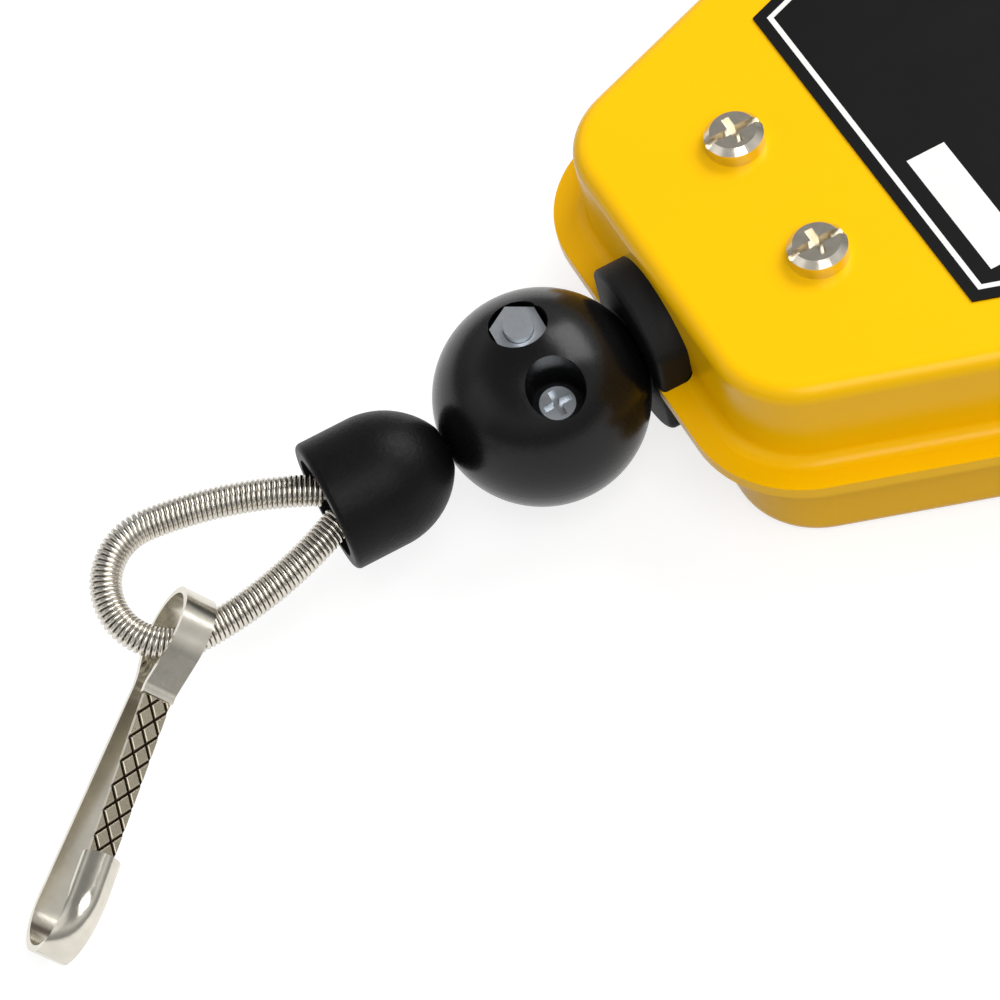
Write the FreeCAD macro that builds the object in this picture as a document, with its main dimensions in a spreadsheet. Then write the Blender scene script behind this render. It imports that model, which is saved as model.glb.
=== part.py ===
import FreeCAD, Part
import math
import os
import re

import Sketcher

# Spring balancer for a light hand tool, lying on its back: X across the case, Y along the rope
# towards the hanger, Z out of the front cover. Origin on the back face, on the case's centre line,
# level with the drum's axis. Millimetres and degrees.

os.makedirs("parts", exist_ok=True)
doc = FreeCAD.newDocument("tool_balancer")
sizes = doc.addObject("Spreadsheet::Sheet", "Sizes")
Vector = FreeCAD.Vector

SIZES = {
    # case: two drawn shells that meet flange to flange
    "sheet_gauge": 0.9,
    "front_depth": 15.0,
    "back_depth": 16.0,
    "end_room": 25.5,
    "end_inset": 16.9,
    "wide_level": 2.0,
    "flare_angle": 21.0,
    "top_room": 16.5,
    "taper_angle": 30.0,
    "end_corner": 12.3,
    "side_corner": 14.0,
    "top_corner": 11.0,
    "face_round": 2.3,
    "flange_width": 4.6,
    "flange_root": 1.8,
    # case screws, the sleeves they turn into, and the plate on the front
    "screw_across": 11.3,
    "screw_rise": 19.5,
    "top_screw_drop": 10.0,
    "screw_shank": 2.0,
    "screw_head": 4.0,
    "screw_head_height": 2.8,
    "screw_grip": 11.0,
    "screw_slot": 1.0,
    "cross_arm": 2.3,
    "cross_half": 0.55,
    "sleeve_outer": 3.2,
    "thread_play": 0.05,
    "hole_play": 0.25,
    "rivet_radius": 2.2,
    "plate_inset": 9.6,
    "plate_rise": 31.8,
    "plate_top_gap": 20.0,
    "plate_gauge": 0.3,
    # rope, its guide in the end wall, and the stop ball
    "rope_radius": 1.25,
    "rope_play": 0.15,
    "soft_gap": 0.3,
    "ball_radius": 14.5,
    "ball_wall_gap": 3.55,
    "guide_radius": 11.7,
    "guide_flat": 9.3,
    "guide_corner": 2.0,
    "guide_plate": 4.6,
    "guide_notch": 1.3,
    "guide_neck_half": 7.6,
    "guide_neck_height": 8.2,
    "guide_inner_plate": 2.4,
    "guide_lip": 1.6,
    "guide_mouth": 5.0,
    "guide_edge": 0.8,
    "ball_roll": 14.0,
    "ball_screw_across": 5.2,
    "ball_pocket": 3.95,
    "ball_screw_shank": 1.95,
    "ball_screw_head": 3.3,
    "ball_head_sink": 8.8,
    "ball_head_height": 2.4,
    "ball_nut_sink": 6.3,
    "ball_nut_flats": 6.6,
    "ball_nut_height": 3.0,
    "ball_tip_sink": 2.1,
    # bell cap, crimp and wire loop, in a plane rolled about the rope
    "bell_gap": 0.1,
    "bell_length": 17.6,
    "bell_radius": 9.15,
    "bell_straight": 7.6,
    "bell_nose": 3.0,
    "bell_roof": 1.8,
    "bell_hollow": 7.0,
    "bell_edge": 0.8,
    "bell_socket": 8.2,
    "bell_socket_radius": 4.3,
    "crimp_half_width": 3.4,
    "crimp_half_height": 2.1,
    "crimp_length": 8.0,
    "crimp_play": 0.3,
    "loop_roll": 22.0,
    "loop_lift": 1.5,
    "loop_tilt": 1.2,
    "loop_strand": 1.35,
    "loop_spread": 2.7,
    "loop_reach": 30.8,
    "loop_bend": 8.3,
    "loop_leg_bend": 60.0,
    "loop_crimp_bend": 4.0,
    "spring_outer": 2.2,
    "spring_bore": 1.4,
    "spring_inset": 0.8,
    # snap hook, bent from one strip, hung in the loop
    "hook_seat": 14.0,
    "hook_heading": 45.59,
    "hook_dip": 5.98,
    "hook_roll": 48.51,
    "strip_gauge": 0.9,
    "eye_inner": 5.2,
    "strip_width": 4.4,
    "back_pinch": 3.2,
    "back_pinch_level": 6.5,
    "nose_face": 3.9,
    "hook_bend": 7.5,
    "hook_level": 37.0,
    "pinch_bend": 4.0,
    "root_bend": 2.0,
    "nose_rise": 4.8,
    "nose_radius": 2.6,
    "gate_root": 0.9,
    "gate_root_level": 8.0,
    "gate_level": 34.5,
    "gate_tip": 1.1,
    "gate_width": 3.8,
    "gate_tip_width": 3.4,
    "gate_stub": 1.2,
    "gate_slit": 0.16,
    "eye_shift_x": -0.50,
    "eye_shift_y": -0.13,
    "eye_shift_z": 0.97,
    # drum, arbor and mainspring
    "drum_offset": 12.5,
    "drum_base": 8.2,
    "drum_height": 19.6,
    "drum_flange_rise": 2.9,
    "drum_flange_gauge": 1.0,
    "drum_cover_gauge": 1.1,
    "wrap_radius": 28.6,
    "wrap_pitch": 2.56,
    "wrap_turns": 5.7,
    "anchor_radius": 1.25,
    "anchor_length": 6.0,
    "lead_bend": 10.0,
    "lead_level_run": 17.0,
    "drum_wall": 3.35,
    "window_margin": 3.25,
    "window_shift": 0.25,
    "drum_web": 2.0,
    "drum_boss": 9.5,
    "bush_outer": 7.0,
    "bush_length": 4.0,
    "drum_screw_shank": 0.9,
    "drum_screw_head": 1.7,
    "drum_screw_height": 1.0,
    "drum_screw_grip": 5.0,
    "arbor_radius": 5.0,
    "journal_radius": 4.0,
    "running_gap": 0.04,
    "end_play": 0.1,
    "case_bush_outer": 5.5,
    "case_bush_flange": 7.5,
    "back_bush_gauge": 1.0,
    "front_bush_gauge": 2.1,
    "mainspring_gauge": 0.8,
    "mainspring_width": 10.4,
    "mainspring_turns": 6.0,
    # worm drive that winds the mainspring up
    "gear_module": 0.7,
    "wheel_teeth": 34.0,
    "wheel_width": 5.0,
    "worm_radius": 2.75,
    "worm_turns": 6.0,
    "worm_journal": 1.8,
    "worm_journal_length": 3.0,
    "worm_head": 2.9,
    "worm_head_length": 5.0,
    "gear_play": 0.25,
    "key_flats": 2.5,
    "key_depth": 3.5,
    "support_half": 4.0,
    "support_height": 7.0,
    "support_rivet": 0.7,
    "support_rivet_across": 3.0,
    "access_radius": 2.6,
    # swivel hanger in the top wall
    "shank_radius": 4.0,
    "hanger_bush": 6.0,
    "hanger_collar": 7.8,
    "hanger_collar_gauge": 2.0,
    "hanger_nut": 6.8,
    "hanger_nut_length": 5.0,
    "hanger_pin": 1.0,
    "hanger_shoulder": 6.0,
    "hanger_shoulder_length": 2.0,
    "hanger_neck": 6.0,
    "hanger_neck_bend": 8.0,
    "hanger_bowl": 15.0,
    "hanger_bar": 3.6,
    "hanger_sweep": 238.0,
    "latch_pin_x": 6.6,
    "latch_pin_rise": 3.0,
    "latch_half_width": 3.0,
    "latch_slot_half": 1.3,
    "latch_slot_reach": 1.6,
    "latch_gauge": 1.0,
    "latch_pin": 1.2,
    "latch_lug": 2.4,
    "latch_lug_gauge": 2.4,
}

# Sizes that follow from those: the case clears the drum, and the ball stands off the end wall
DERIVED = {
    "drum_flange": "wrap_radius + drum_flange_rise",
    "drum_cavity": "wrap_radius - rope_radius - drum_wall",
    "end_level": "wrap_radius + drum_flange_rise + end_room",
    "end_half": "drum_offset + wrap_radius + drum_flange_rise - end_inset",
    "top_level": "wrap_radius + drum_flange_rise + top_room",
    "ball_stand_off": "ball_radius + ball_wall_gap",
    "ball_head_seat": "ball_radius - ball_head_sink",
    "ball_nut_seat": "ball_radius - ball_nut_sink",
    "ball_screw_tip": "ball_radius - ball_tip_sink",
}

cells = {alias: str(value) for alias, value in SIZES.items()}
cells.update({alias: f"={formula}" for alias, formula in DERIVED.items()})
for row, (alias, content) in enumerate(cells.items(), start=1):
    sizes.set(f"A{row}", alias.replace("_", " "))
    sizes.set(f"B{row}", content)
    sizes.setAlias(f"B{row}", alias)
doc.recompute()

NAMES = re.compile(r"\b(" + "|".join(sorted(cells, key=len, reverse=True)) + r")\b")


def bound(expression):
    """The expression as another object of the document reads it."""
    return NAMES.sub(r"Sizes.\1", expression)


def num(expression):
    """The value that an expression of the named sizes has now."""
    result = sizes.evalExpression(expression)
    return float(getattr(result, "Value", result))


# Builders: bodies, sketches whose every point is bound to the sheet, and their features

PARTS = []


def place(thing, at, axis=None, angle="0"):
    """Puts a sub-part at a point of named sizes, turned about one axis."""
    turn = FreeCAD.Rotation(axis or Vector(0, 0, 1), num(angle))
    thing.Placement = FreeCAD.Placement(Vector(*[num(value) for value in at]), turn)
    for name, value in zip("xyz", at):
        if value != "0":
            thing.setExpression(f"Placement.Base.{name}", bound(value))
    if axis is not None:
        thing.setExpression("Placement.Rotation.Angle", bound(angle))


def new_body(label, at=("0", "0", "0"), axis=None, angle="0"):
    body = doc.addObject("PartDesign::Body", label)
    body.Label = label
    place(body, at, axis, angle)
    PARTS.append(body)
    return body


def pin_point(sketch, geometry, end, across, along):
    """Holds one point of a sketch at a place given by two expressions."""
    for kind, axis, expression in (("DistanceX", -2, across), ("DistanceY", -1, along)):
        value = num(expression)
        if expression == "0":
            sketch.addConstraint(Sketcher.Constraint("PointOnObject", geometry, end, axis))
            continue
        index = sketch.addConstraint(Sketcher.Constraint(kind, -1, 1, geometry, end, value))
        sketch.setExpression(f"Constraints[{index}]", bound(expression))


def sketch_on(body, role, lift="0"):
    sketch = body.newObject("Sketcher::SketchObject", body.Label + "_sketch")
    plane = next(item for item in body.Origin.OriginFeatures if item.Role == role)
    sketch.AttachmentSupport = [(plane, "")]
    sketch.MapMode = "FlatFace"
    if lift != "0":
        sketch.AttachmentOffset = FreeCAD.Placement(Vector(0, 0, num(lift)), FreeCAD.Rotation())
        sketch.setExpression("AttachmentOffset.Base.z", bound(lift))
    return sketch


def draw_outline(sketch, points):
    """A closed outline. A point with a third entry starts an arc of that radius, counter-clockwise
    if it is positive; a fourth entry of "far" takes the arc that is more than half a circle."""
    places = [Vector(num(point[0]), num(point[1]), 0) for point in points]
    ends = []
    for index, point in enumerate(points):
        start, end = places[index], places[(index + 1) % len(places)]
        if len(point) == 2:
            geometry = sketch.addGeometry(Part.LineSegment(start, end), False)
            ends.append((geometry, 1, 2))
            continue
        bend = num(point[2])
        radius = abs(bend)
        chord = end - start
        rise = math.sqrt(max(radius ** 2 - chord.Length ** 2 / 4, 0.0))
        if len(point) > 3:
            rise = -rise
        left = Vector(-chord.y, chord.x, 0).normalize()
        side = 1 if bend > 0 else -1
        centre = (start + end) * 0.5 + left * (rise * side)
        first, last = (start, end) if bend > 0 else (end, start)
        angles = [math.atan2(spot.y - centre.y, spot.x - centre.x) for spot in (first, last)]
        if angles[1] <= angles[0]:
            angles[1] += 2 * math.pi
        arc = Part.ArcOfCircle(Part.Circle(centre, Vector(0, 0, 1), radius), *angles)
        geometry = sketch.addGeometry(arc, False)
        ends.append((geometry, 1, 2) if bend > 0 else (geometry, 2, 1))
    for index, (geometry, start, end) in enumerate(ends):
        after = ends[(index + 1) % len(ends)]
        sketch.addConstraint(Sketcher.Constraint("Coincident", geometry, end, after[0], after[1]))
        pin_point(sketch, geometry, start, *points[index][:2])
        if len(points[index]) > 2:
            radius = abs(num(points[index][2]))
            bend = sketch.addConstraint(Sketcher.Constraint("Radius", geometry, radius))
            sign = "" if num(points[index][2]) > 0 else "-"
            sketch.setExpression(f"Constraints[{bend}]", f"{sign}({bound(points[index][2])})")
    return sketch


def draw_circle(sketch, across, along, radius):
    centre = Vector(num(across), num(along), 0)
    circle = Part.Circle(centre, Vector(0, 0, 1), num(radius))
    geometry = sketch.addGeometry(circle, False)
    pin_point(sketch, geometry, 3, across, along)
    index = sketch.addConstraint(Sketcher.Constraint("Radius", geometry, num(radius)))
    sketch.setExpression(f"Constraints[{index}]", bound(radius))
    return sketch


def box_points(left, right, low, high):
    return [(left, low), (right, low), (right, high), (left, high)]


def add_feature(body, kind, sketch, length=None, **settings):
    feature = body.newObject(f"PartDesign::{kind}", f"{body.Label}_{kind.lower()}")
    feature.Profile = sketch
    if length is not None:
        feature.Length = num(length)
        feature.setExpression("Length", bound(length))
    for name, value in settings.items():
        setattr(feature, name, value)
    sketch.Visibility = False
    doc.recompute()
    return feature


def pad(body, sketch, length, **settings):
    return add_feature(body, "Pad", sketch, length, **settings)


def pocket(body, sketch, length, **settings):
    before = body.Shape.Volume
    feature = add_feature(body, "Pocket", sketch, length, **settings)
    if not body.Shape.Volume < before - 1e-6:
        raise RuntimeError(f"{body.Label}: a pocket cuts nothing")
    return feature


def spin(body, sketch, axis="V_Axis", cut=False):
    before = body.Shape.Volume if cut else 0.0
    kind = "Groove" if cut else "Revolution"
    feature = add_feature(body, kind, sketch, ReferenceAxis=(sketch, [axis]), Angle=360.0)
    if cut and not body.Shape.Volume < before - 1e-6:
        raise RuntimeError(f"{body.Label}: a groove cuts nothing")
    return feature


def edge_names(shape, test):
    return [f"Edge{index}" for index, edge in enumerate(shape.Edges, start=1) if test(edge)]


def round_edges(body, radius, test, kind="Fillet"):
    base = body.Tip
    names = edge_names(base.Shape, test)
    if not names:
        raise RuntimeError(f"{body.Label}: no edge to round")
    feature = body.newObject(f"PartDesign::{kind}", f"{body.Label}_{kind.lower()}")
    feature.Base = (base, names)
    size = "Radius" if kind == "Fillet" else "Size"
    setattr(feature, size, num(radius))
    feature.setExpression(size, bound(radius))
    doc.recompute()
    return feature


def at_level(level, axis="z"):
    """Edges that lie wholly at one height."""
    height = num(level)

    def test(edge):
        box = edge.BoundBox
        low, high = getattr(box, axis.upper() + "Min"), getattr(box, axis.upper() + "Max")
        return abs(low - height) < 1e-4 and abs(high - height) < 1e-4

    return test


def upright(edge):
    box = edge.BoundBox
    return box.XLength < 1e-4 and box.YLength < 1e-4


def group(label, shapes):
    """Identical pieces that share one node, each its own solid."""
    thing = doc.addObject("Part::Feature", label)
    thing.Label = label
    thing.Shape = Part.makeCompound(shapes) if len(shapes) > 1 else shapes[0]
    PARTS.append(thing)
    return thing


def copies(body, places):
    """The body's solid, once at each place, without the body being a piece itself."""
    PARTS.remove(body)
    solids = []
    for spot in places:
        solid = body.Shape.copy()
        solid.Placement = FreeCAD.Placement(spot, FreeCAD.Rotation()).multiply(solid.Placement)
        solids.append(solid)
    return solids


# The case's outline: six virtual corners, moved out or in by a margin

SEAM = "back_depth"
FRONT = "(back_depth + front_depth)"
END_Y = "(0 - end_level)"
WIDE_HALF = "(end_half + (end_level + wide_level) * tan(flare_angle))"
TOP_HALF = f"({WIDE_HALF} - (top_level - wide_level) * tan(taper_angle))"
BEND = "sin(flare_angle + taper_angle)"


def case_outline(margin):
    """The case's outline a margin outside its walls, with rounded corners, from the end upwards."""
    corners = [
        (f"end_half + ({margin}) * (1 - sin(flare_angle)) / cos(flare_angle)",
         f"{END_Y} - ({margin})", "end_corner", "90 - flare_angle", ("1", "0"),
         ("sin(flare_angle)", "cos(flare_angle)")),
        (f"{WIDE_HALF} + ({margin}) * (sin(taper_angle) + sin(flare_angle)) / {BEND}",
         f"wide_level + ({margin}) * (cos(flare_angle) - cos(taper_angle)) / {BEND}",
         "side_corner", "flare_angle + taper_angle", ("sin(flare_angle)", "cos(flare_angle)"),
         ("0 - sin(taper_angle)", "cos(taper_angle)")),
        (f"{TOP_HALF} + ({margin}) * (1 - sin(taper_angle)) / cos(taper_angle)",
         f"top_level + ({margin})", "top_corner", "90 - taper_angle",
         ("0 - sin(taper_angle)", "cos(taper_angle)"), ("-1", "0")),
    ]
    right, left = [], []
    for x, y, corner, turn, before, after in corners:
        radius = f"({corner} + ({margin}))"
        reach = f"{radius} * tan(({turn}) / 2)"
        first = [f"{value} - {reach} * ({step})" for value, step in zip((x, y), before)]
        last = [f"{value} + {reach} * ({step})" for value, step in zip((x, y), after)]
        right += [(*first, radius), tuple(last)]
        left += [(f"0 - ({first[0]})", first[1]), (f"0 - ({last[0]})", last[1], radius)]
    return right + left[::-1]


def case_cover(label, depth, turned):
    """A drawn shell: rounded walls, a flange at its open edge and a hollow that follows both."""
    if turned:
        cover = new_body(label, ("0", "0", SEAM), Vector(0, 1, 0), "180")
    else:
        cover = new_body(label, ("0", "0", SEAM))
    pad(cover, draw_outline(sketch_on(cover, "XY_Plane"), case_outline("0")), depth)
    round_edges(cover, "face_round", at_level(depth))
    rim = draw_outline(sketch_on(cover, "XY_Plane"), case_outline("flange_width"))
    pad(cover, rim, "sheet_gauge")
    rim_wire = rim.Shape.copy()
    rim_wire.Placement = rim.Placement
    on_flange = at_level("sheet_gauge")

    def is_root(edge):
        return on_flange(edge) and edge.distToShape(rim_wire)[0] > num("flange_width") / 2

    round_edges(cover, "flange_root", is_root)
    hollow = draw_outline(sketch_on(cover, "XY_Plane"), case_outline("0 - sheet_gauge"))
    pocket(cover, hollow, f"{depth} - sheet_gauge", Reversed=True)
    round_edges(cover, "face_round - sheet_gauge", at_level(f"{depth} - sheet_gauge"))
    return cover


# Where things lie

BALL_Y = "(0 - end_level - ball_stand_off)"
NOSE_Y = f"({BALL_Y} - ball_radius - bell_gap)"
RIM_Y = f"({NOSE_Y} - bell_length)"
COVER_INNER = f"({FRONT} - sheet_gauge)"
SCREW_SPOTS = [(f"{side}screw_across", y) for y in ("screw_rise - end_level",
               "top_level - top_screw_drop") for side in ("0 - ", "")]
WHEEL_BASE = "(sheet_gauge + back_bush_gauge + end_play)"
WHEEL_PITCH = "(gear_module * wheel_teeth / 2)"
WORM_X = f"(drum_offset - {WHEEL_PITCH} - worm_radius)"
WORM_Z = f"({WHEEL_BASE} + wheel_width / 2)"
FRONT_BUSH_FACE = f"({COVER_INNER} - front_bush_gauge)"
DRUM_TOP = "(drum_base + drum_height)"
BARREL_TOP = f"({DRUM_TOP} - drum_cover_gauge)"
WORM_HALF = "(worm_turns * pi * gear_module / 2)"
WORM_COLLAR = f"({WORM_HALF} + pi * gear_module / 2)"
CRIMP_DEPTH = "(bell_length - bell_roof - crimp_play - crimp_length)"
LONG = "(2 * (end_level + top_level))"


def cut_holes(body, role, circles, length, lift="0", **settings):
    sketch = sketch_on(body, role, lift)
    for circle in circles:
        draw_circle(sketch, *circle)
    return pocket(body, sketch, length, **settings)


def front_cover():
    cover = case_cover("front_cover", "front_depth", False)
    holes = [(x, y, "screw_shank + hole_play") for x, y in SCREW_SPOTS]
    holes.append(("drum_offset", "0", "case_bush_outer"))
    cut_holes(cover, "XY_Plane", holes, LONG, Reversed=True)
    cut_ends(cover)


def back_cover():
    cover = case_cover("back_cover", "back_depth", True)
    holes = [(x, y, "rivet_radius") for x, y in SCREW_SPOTS]
    holes.append(("0 - drum_offset", "0", "case_bush_outer"))
    block = f"({WORM_COLLAR} + 1 + end_play + worm_journal_length / 2)"
    holes += [(f"0 - {WORM_X} {side} support_rivet_across", f"{way}{block}", "support_rivet")
              for side in "-+" for way in ("0 - ", "")]
    cut_holes(cover, "XY_Plane", holes, LONG, Reversed=True)
    cut_ends(cover)
    access = (f"0 - {WORM_X}", f"{SEAM} - {WORM_Z}", "access_radius")
    cut_holes(cover, "XZ_Plane", [access], "sheet_gauge + 2", "0 - top_level - 1", Reversed=True)


def cut_ends(cover):
    """The opening for the rope guide at one end, and for the hanger's bush at the other."""
    neck = box_points("0 - guide_neck_half", "guide_neck_half", "0 - 1", "guide_neck_height")
    sketch = draw_outline(sketch_on(cover, "XZ_Plane", "end_level + 1"), neck)
    pocket(cover, sketch, "sheet_gauge + 2")
    gap = "(guide_flat - guide_notch + rope_play)"
    notch = box_points(f"0 - {gap}", gap, "0 - 1", "sheet_gauge + flange_root + 0.1")
    sketch = draw_outline(sketch_on(cover, "XZ_Plane", "end_level + flange_width + 1"), notch)
    pocket(cover, sketch, "flange_width + 1")
    wide = "(guide_flat + rope_play)"
    root = box_points(f"0 - {wide}", wide, "sheet_gauge", "sheet_gauge + flange_root + 0.1")
    sketch = draw_outline(sketch_on(cover, "XZ_Plane", "end_level + flange_width + 1"), root)
    pocket(cover, sketch, "flange_width + 1")
    bush = [("0", "0", "hanger_bush")]
    reach = "sheet_gauge + flange_width + 2"
    cut_holes(cover, "XZ_Plane", bush, reach, "0 - top_level - flange_width - 1", Reversed=True)


def rope_guide():
    """A moulded grommet: an outer plate, a neck through the wall and an inner plate."""
    guide = new_body("rope_guide", ("0", END_Y, SEAM))
    across = "(guide_flat - guide_corner)"
    rise = f"sqrt((guide_radius - guide_corner) ^ 2 - {across} ^ 2)"
    out = "guide_radius / (guide_radius - guide_corner)"
    plate = [("guide_flat", f"0 - {rise}"), ("guide_flat", rise, "guide_corner"),
             (f"{across} * {out}", f"{rise} * {out}", "guide_radius"),
             (f"0 - {across} * {out}", f"{rise} * {out}", "guide_corner"),
             ("0 - guide_flat", rise), ("0 - guide_flat", f"0 - {rise}", "guide_corner"),
             (f"0 - {across} * {out}", f"0 - {rise} * {out}", "guide_radius"),
             (f"{across} * {out}", f"0 - {rise} * {out}", "guide_corner")]
    pad(guide, draw_outline(sketch_on(guide, "XZ_Plane"), plate), "guide_plate")
    round_edges(guide, "guide_edge", at_level("0 - guide_plate", "y"))
    neck = box_points("0 - guide_neck_half", "guide_neck_half", "0 - guide_neck_height",
                      "guide_neck_height")
    pad(guide, draw_outline(sketch_on(guide, "XZ_Plane"), neck), "sheet_gauge", Reversed=True)
    wide, tall = "(guide_neck_half + guide_lip)", "(guide_neck_height + guide_lip)"
    inner = box_points(f"0 - {wide}", wide, f"0 - {tall}", tall)
    sketch = draw_outline(sketch_on(guide, "XZ_Plane", "0 - sheet_gauge"), inner)
    pad(guide, sketch, "guide_inner_plate", Reversed=True)
    seat = "(ball_radius + soft_gap)"
    bore = "(rope_radius + rope_play)"
    low = "(guide_plate + 1)"
    mouth = f"sqrt({seat} ^ 2 - (ball_stand_off - {low}) ^ 2)"
    floor = f"sqrt({seat} ^ 2 - {bore} ^ 2) - ball_stand_off"
    cup = [("0", f"0 - {low}"), (mouth, f"0 - {low}", seat), (bore, floor), ("0", floor)]
    spin(guide, draw_outline(sketch_on(guide, "XY_Plane"), cup), cut=True)
    back = "(sheet_gauge + guide_inner_plate + 0.5)"
    funnel = [("0", "0 - guide_plate"), (bore, "0 - guide_plate"), (bore, "0 - 1"),
              ("guide_mouth", back), ("0", back)]
    spin(guide, draw_outline(sketch_on(guide, "XY_Plane"), funnel), cut=True)
    sketch = sketch_on(guide, "XZ_Plane")
    deep = "(guide_flat - guide_notch)"
    draw_outline(sketch, box_points(deep, "guide_flat + 1", "0 - sheet_gauge", "sheet_gauge"))
    draw_outline(sketch, box_points("0 - guide_flat - 1", f"0 - {deep}", "0 - sheet_gauge",
                                    "sheet_gauge"))
    pocket(guide, sketch, "guide_plate", Reversed=True)


def screw_solid(label, shank, head, height, grip, slot):
    """A pan-head screw along Z, with the underside of its head at zero."""
    screw = new_body(label)
    profile = [("0", f"0 - {grip}"), (shank, f"0 - {grip}"), (shank, "0"), (head, "0"),
               (head, f"({height}) * 0.7"), (f"({head}) - ({height}) * 0.3", height), ("0", height)]
    spin(screw, draw_outline(sketch_on(screw, "XZ_Plane"), profile))
    cut = box_points(f"0 - ({slot}) / 2", f"({slot}) / 2", f"0 - ({head}) - 1", f"({head}) + 1")
    sketch = draw_outline(sketch_on(screw, "XY_Plane", f"({height}) * 0.55"), cut)
    pocket(screw, sketch, height, Reversed=True)
    return screw


def spots(places, level):
    return [Vector(num(x), num(y), num(level)) for x, y in places]


def cross_points(arm, half):
    """A cross recess: four arms of one reach and one half width."""
    quarter = [(arm, f"0 - {half}"), (arm, half), (half, half)]
    turned = [quarter, [(f"0 - ({y})", x) for x, y in quarter]]
    turned += [[(f"0 - ({x})", f"0 - ({y})") for x, y in points] for points in turned[:2]]
    return [point for points in turned for point in points]


def cover_screws():
    screw = screw_solid("cover_screw", "screw_shank", "screw_head", "screw_head_height",
                        "screw_grip", "screw_slot")
    deep = draw_outline(sketch_on(screw, "XY_Plane", "screw_head_height * 0.35"),
                        cross_points("cross_arm", "cross_half"))
    pocket(screw, deep, "screw_head_height", Reversed=True)
    group("cover_screws", copies(screw, spots(SCREW_SPOTS, FRONT)))


def cover_sleeves():
    """Threaded pillars riveted into the back cover, which the case screws pull against."""
    sleeve = new_body("cover_sleeve")
    bore = "screw_shank + thread_play"
    depth = f"({COVER_INNER} - screw_grip - 1)"
    profile = [("0", "0"), ("rivet_radius", "0"), ("rivet_radius", "sheet_gauge"),
               ("sleeve_outer", "sheet_gauge"), ("sleeve_outer", COVER_INNER),
               (bore, COVER_INNER), (bore, depth), ("0", depth)]
    spin(sleeve, draw_outline(sketch_on(sleeve, "XZ_Plane"), profile))
    group("cover_sleeves", copies(sleeve, spots(SCREW_SPOTS, "0")))


def front_plate():
    """The bare plate on the front, its sides parallel to the case's."""
    low, high = "(plate_rise - end_level)", "(top_level - plate_top_gap)"
    low_x = f"(end_half + plate_rise * tan(flare_angle) - plate_inset / cos(flare_angle))"
    wide_x = f"({WIDE_HALF} - plate_inset * (sin(taper_angle) + sin(flare_angle)) / {BEND})"
    wide_y = f"(wide_level - plate_inset * (cos(flare_angle) - cos(taper_angle)) / {BEND})"
    high_x = (f"({WIDE_HALF} - ({high} - wide_level) * tan(taper_angle)"
              f" - plate_inset / cos(taper_angle))")
    right = [(low_x, low), (wide_x, wide_y), (high_x, high)]
    left = [(f"0 - {x}", y) for x, y in reversed(right)]
    plate = new_body("front_plate", ("0", "0", FRONT))
    pad(plate, draw_outline(sketch_on(plate, "XY_Plane"), right + left), "plate_gauge")


# Arbor, drum and mainspring

def case_bushes():
    bore = "journal_radius + running_gap"
    back = new_body("back_bush", ("drum_offset", "0", "0"))
    top = "(sheet_gauge + back_bush_gauge)"
    profile = [(bore, "0"), ("case_bush_outer", "0"), ("case_bush_outer", "sheet_gauge"),
               ("case_bush_flange", "sheet_gauge"), ("case_bush_flange", top), (bore, top)]
    spin(back, draw_outline(sketch_on(back, "XZ_Plane"), profile))
    front = new_body("front_bush", ("drum_offset", "0", FRONT))
    low = "0 - sheet_gauge"
    deep = "0 - sheet_gauge - front_bush_gauge"
    profile = [(bore, deep), ("case_bush_flange", deep), ("case_bush_flange", low),
               ("case_bush_outer", low), ("case_bush_outer", "0"), (bore, "0")]
    spin(front, draw_outline(sketch_on(front, "XZ_Plane"), profile))


def arbor():
    shaft = new_body("arbor", ("drum_offset", "0", "0"))
    top = f"({FRONT_BUSH_FACE} - end_play)"
    end = f"({FRONT} - end_play)"
    profile = [("0", "end_play"), ("journal_radius", "end_play"), ("journal_radius", WHEEL_BASE),
               ("arbor_radius", WHEEL_BASE), ("arbor_radius", top), ("journal_radius", top),
               ("journal_radius", end), ("0", end)]
    spin(shaft, draw_outline(sketch_on(shaft, "XZ_Plane"), profile))
    slot = box_points("arbor_radius / 2", "arbor_radius + 1", "0 - mainspring_gauge / 2 - 0.1",
                      "mainspring_gauge / 2 + 0.1")
    sketch = draw_outline(sketch_on(shaft, "XY_Plane", "drum_base + bush_length + 0.2"), slot)
    pocket(shaft, sketch, "drum_height - 2 * bush_length - 0.4", Reversed=True)
    key = box_points("0 - 1", "1", "arbor_radius - 1", "arbor_radius + 1")
    sketch = draw_outline(sketch_on(shaft, "XY_Plane", WHEEL_BASE), key)
    pocket(shaft, sketch, "wheel_width", Reversed=True)
    wheel_key = new_body("wheel_key", ("drum_offset", "0", WHEEL_BASE))
    pad(wheel_key, draw_outline(sketch_on(wheel_key, "XY_Plane"), key), "wheel_width")


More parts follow.
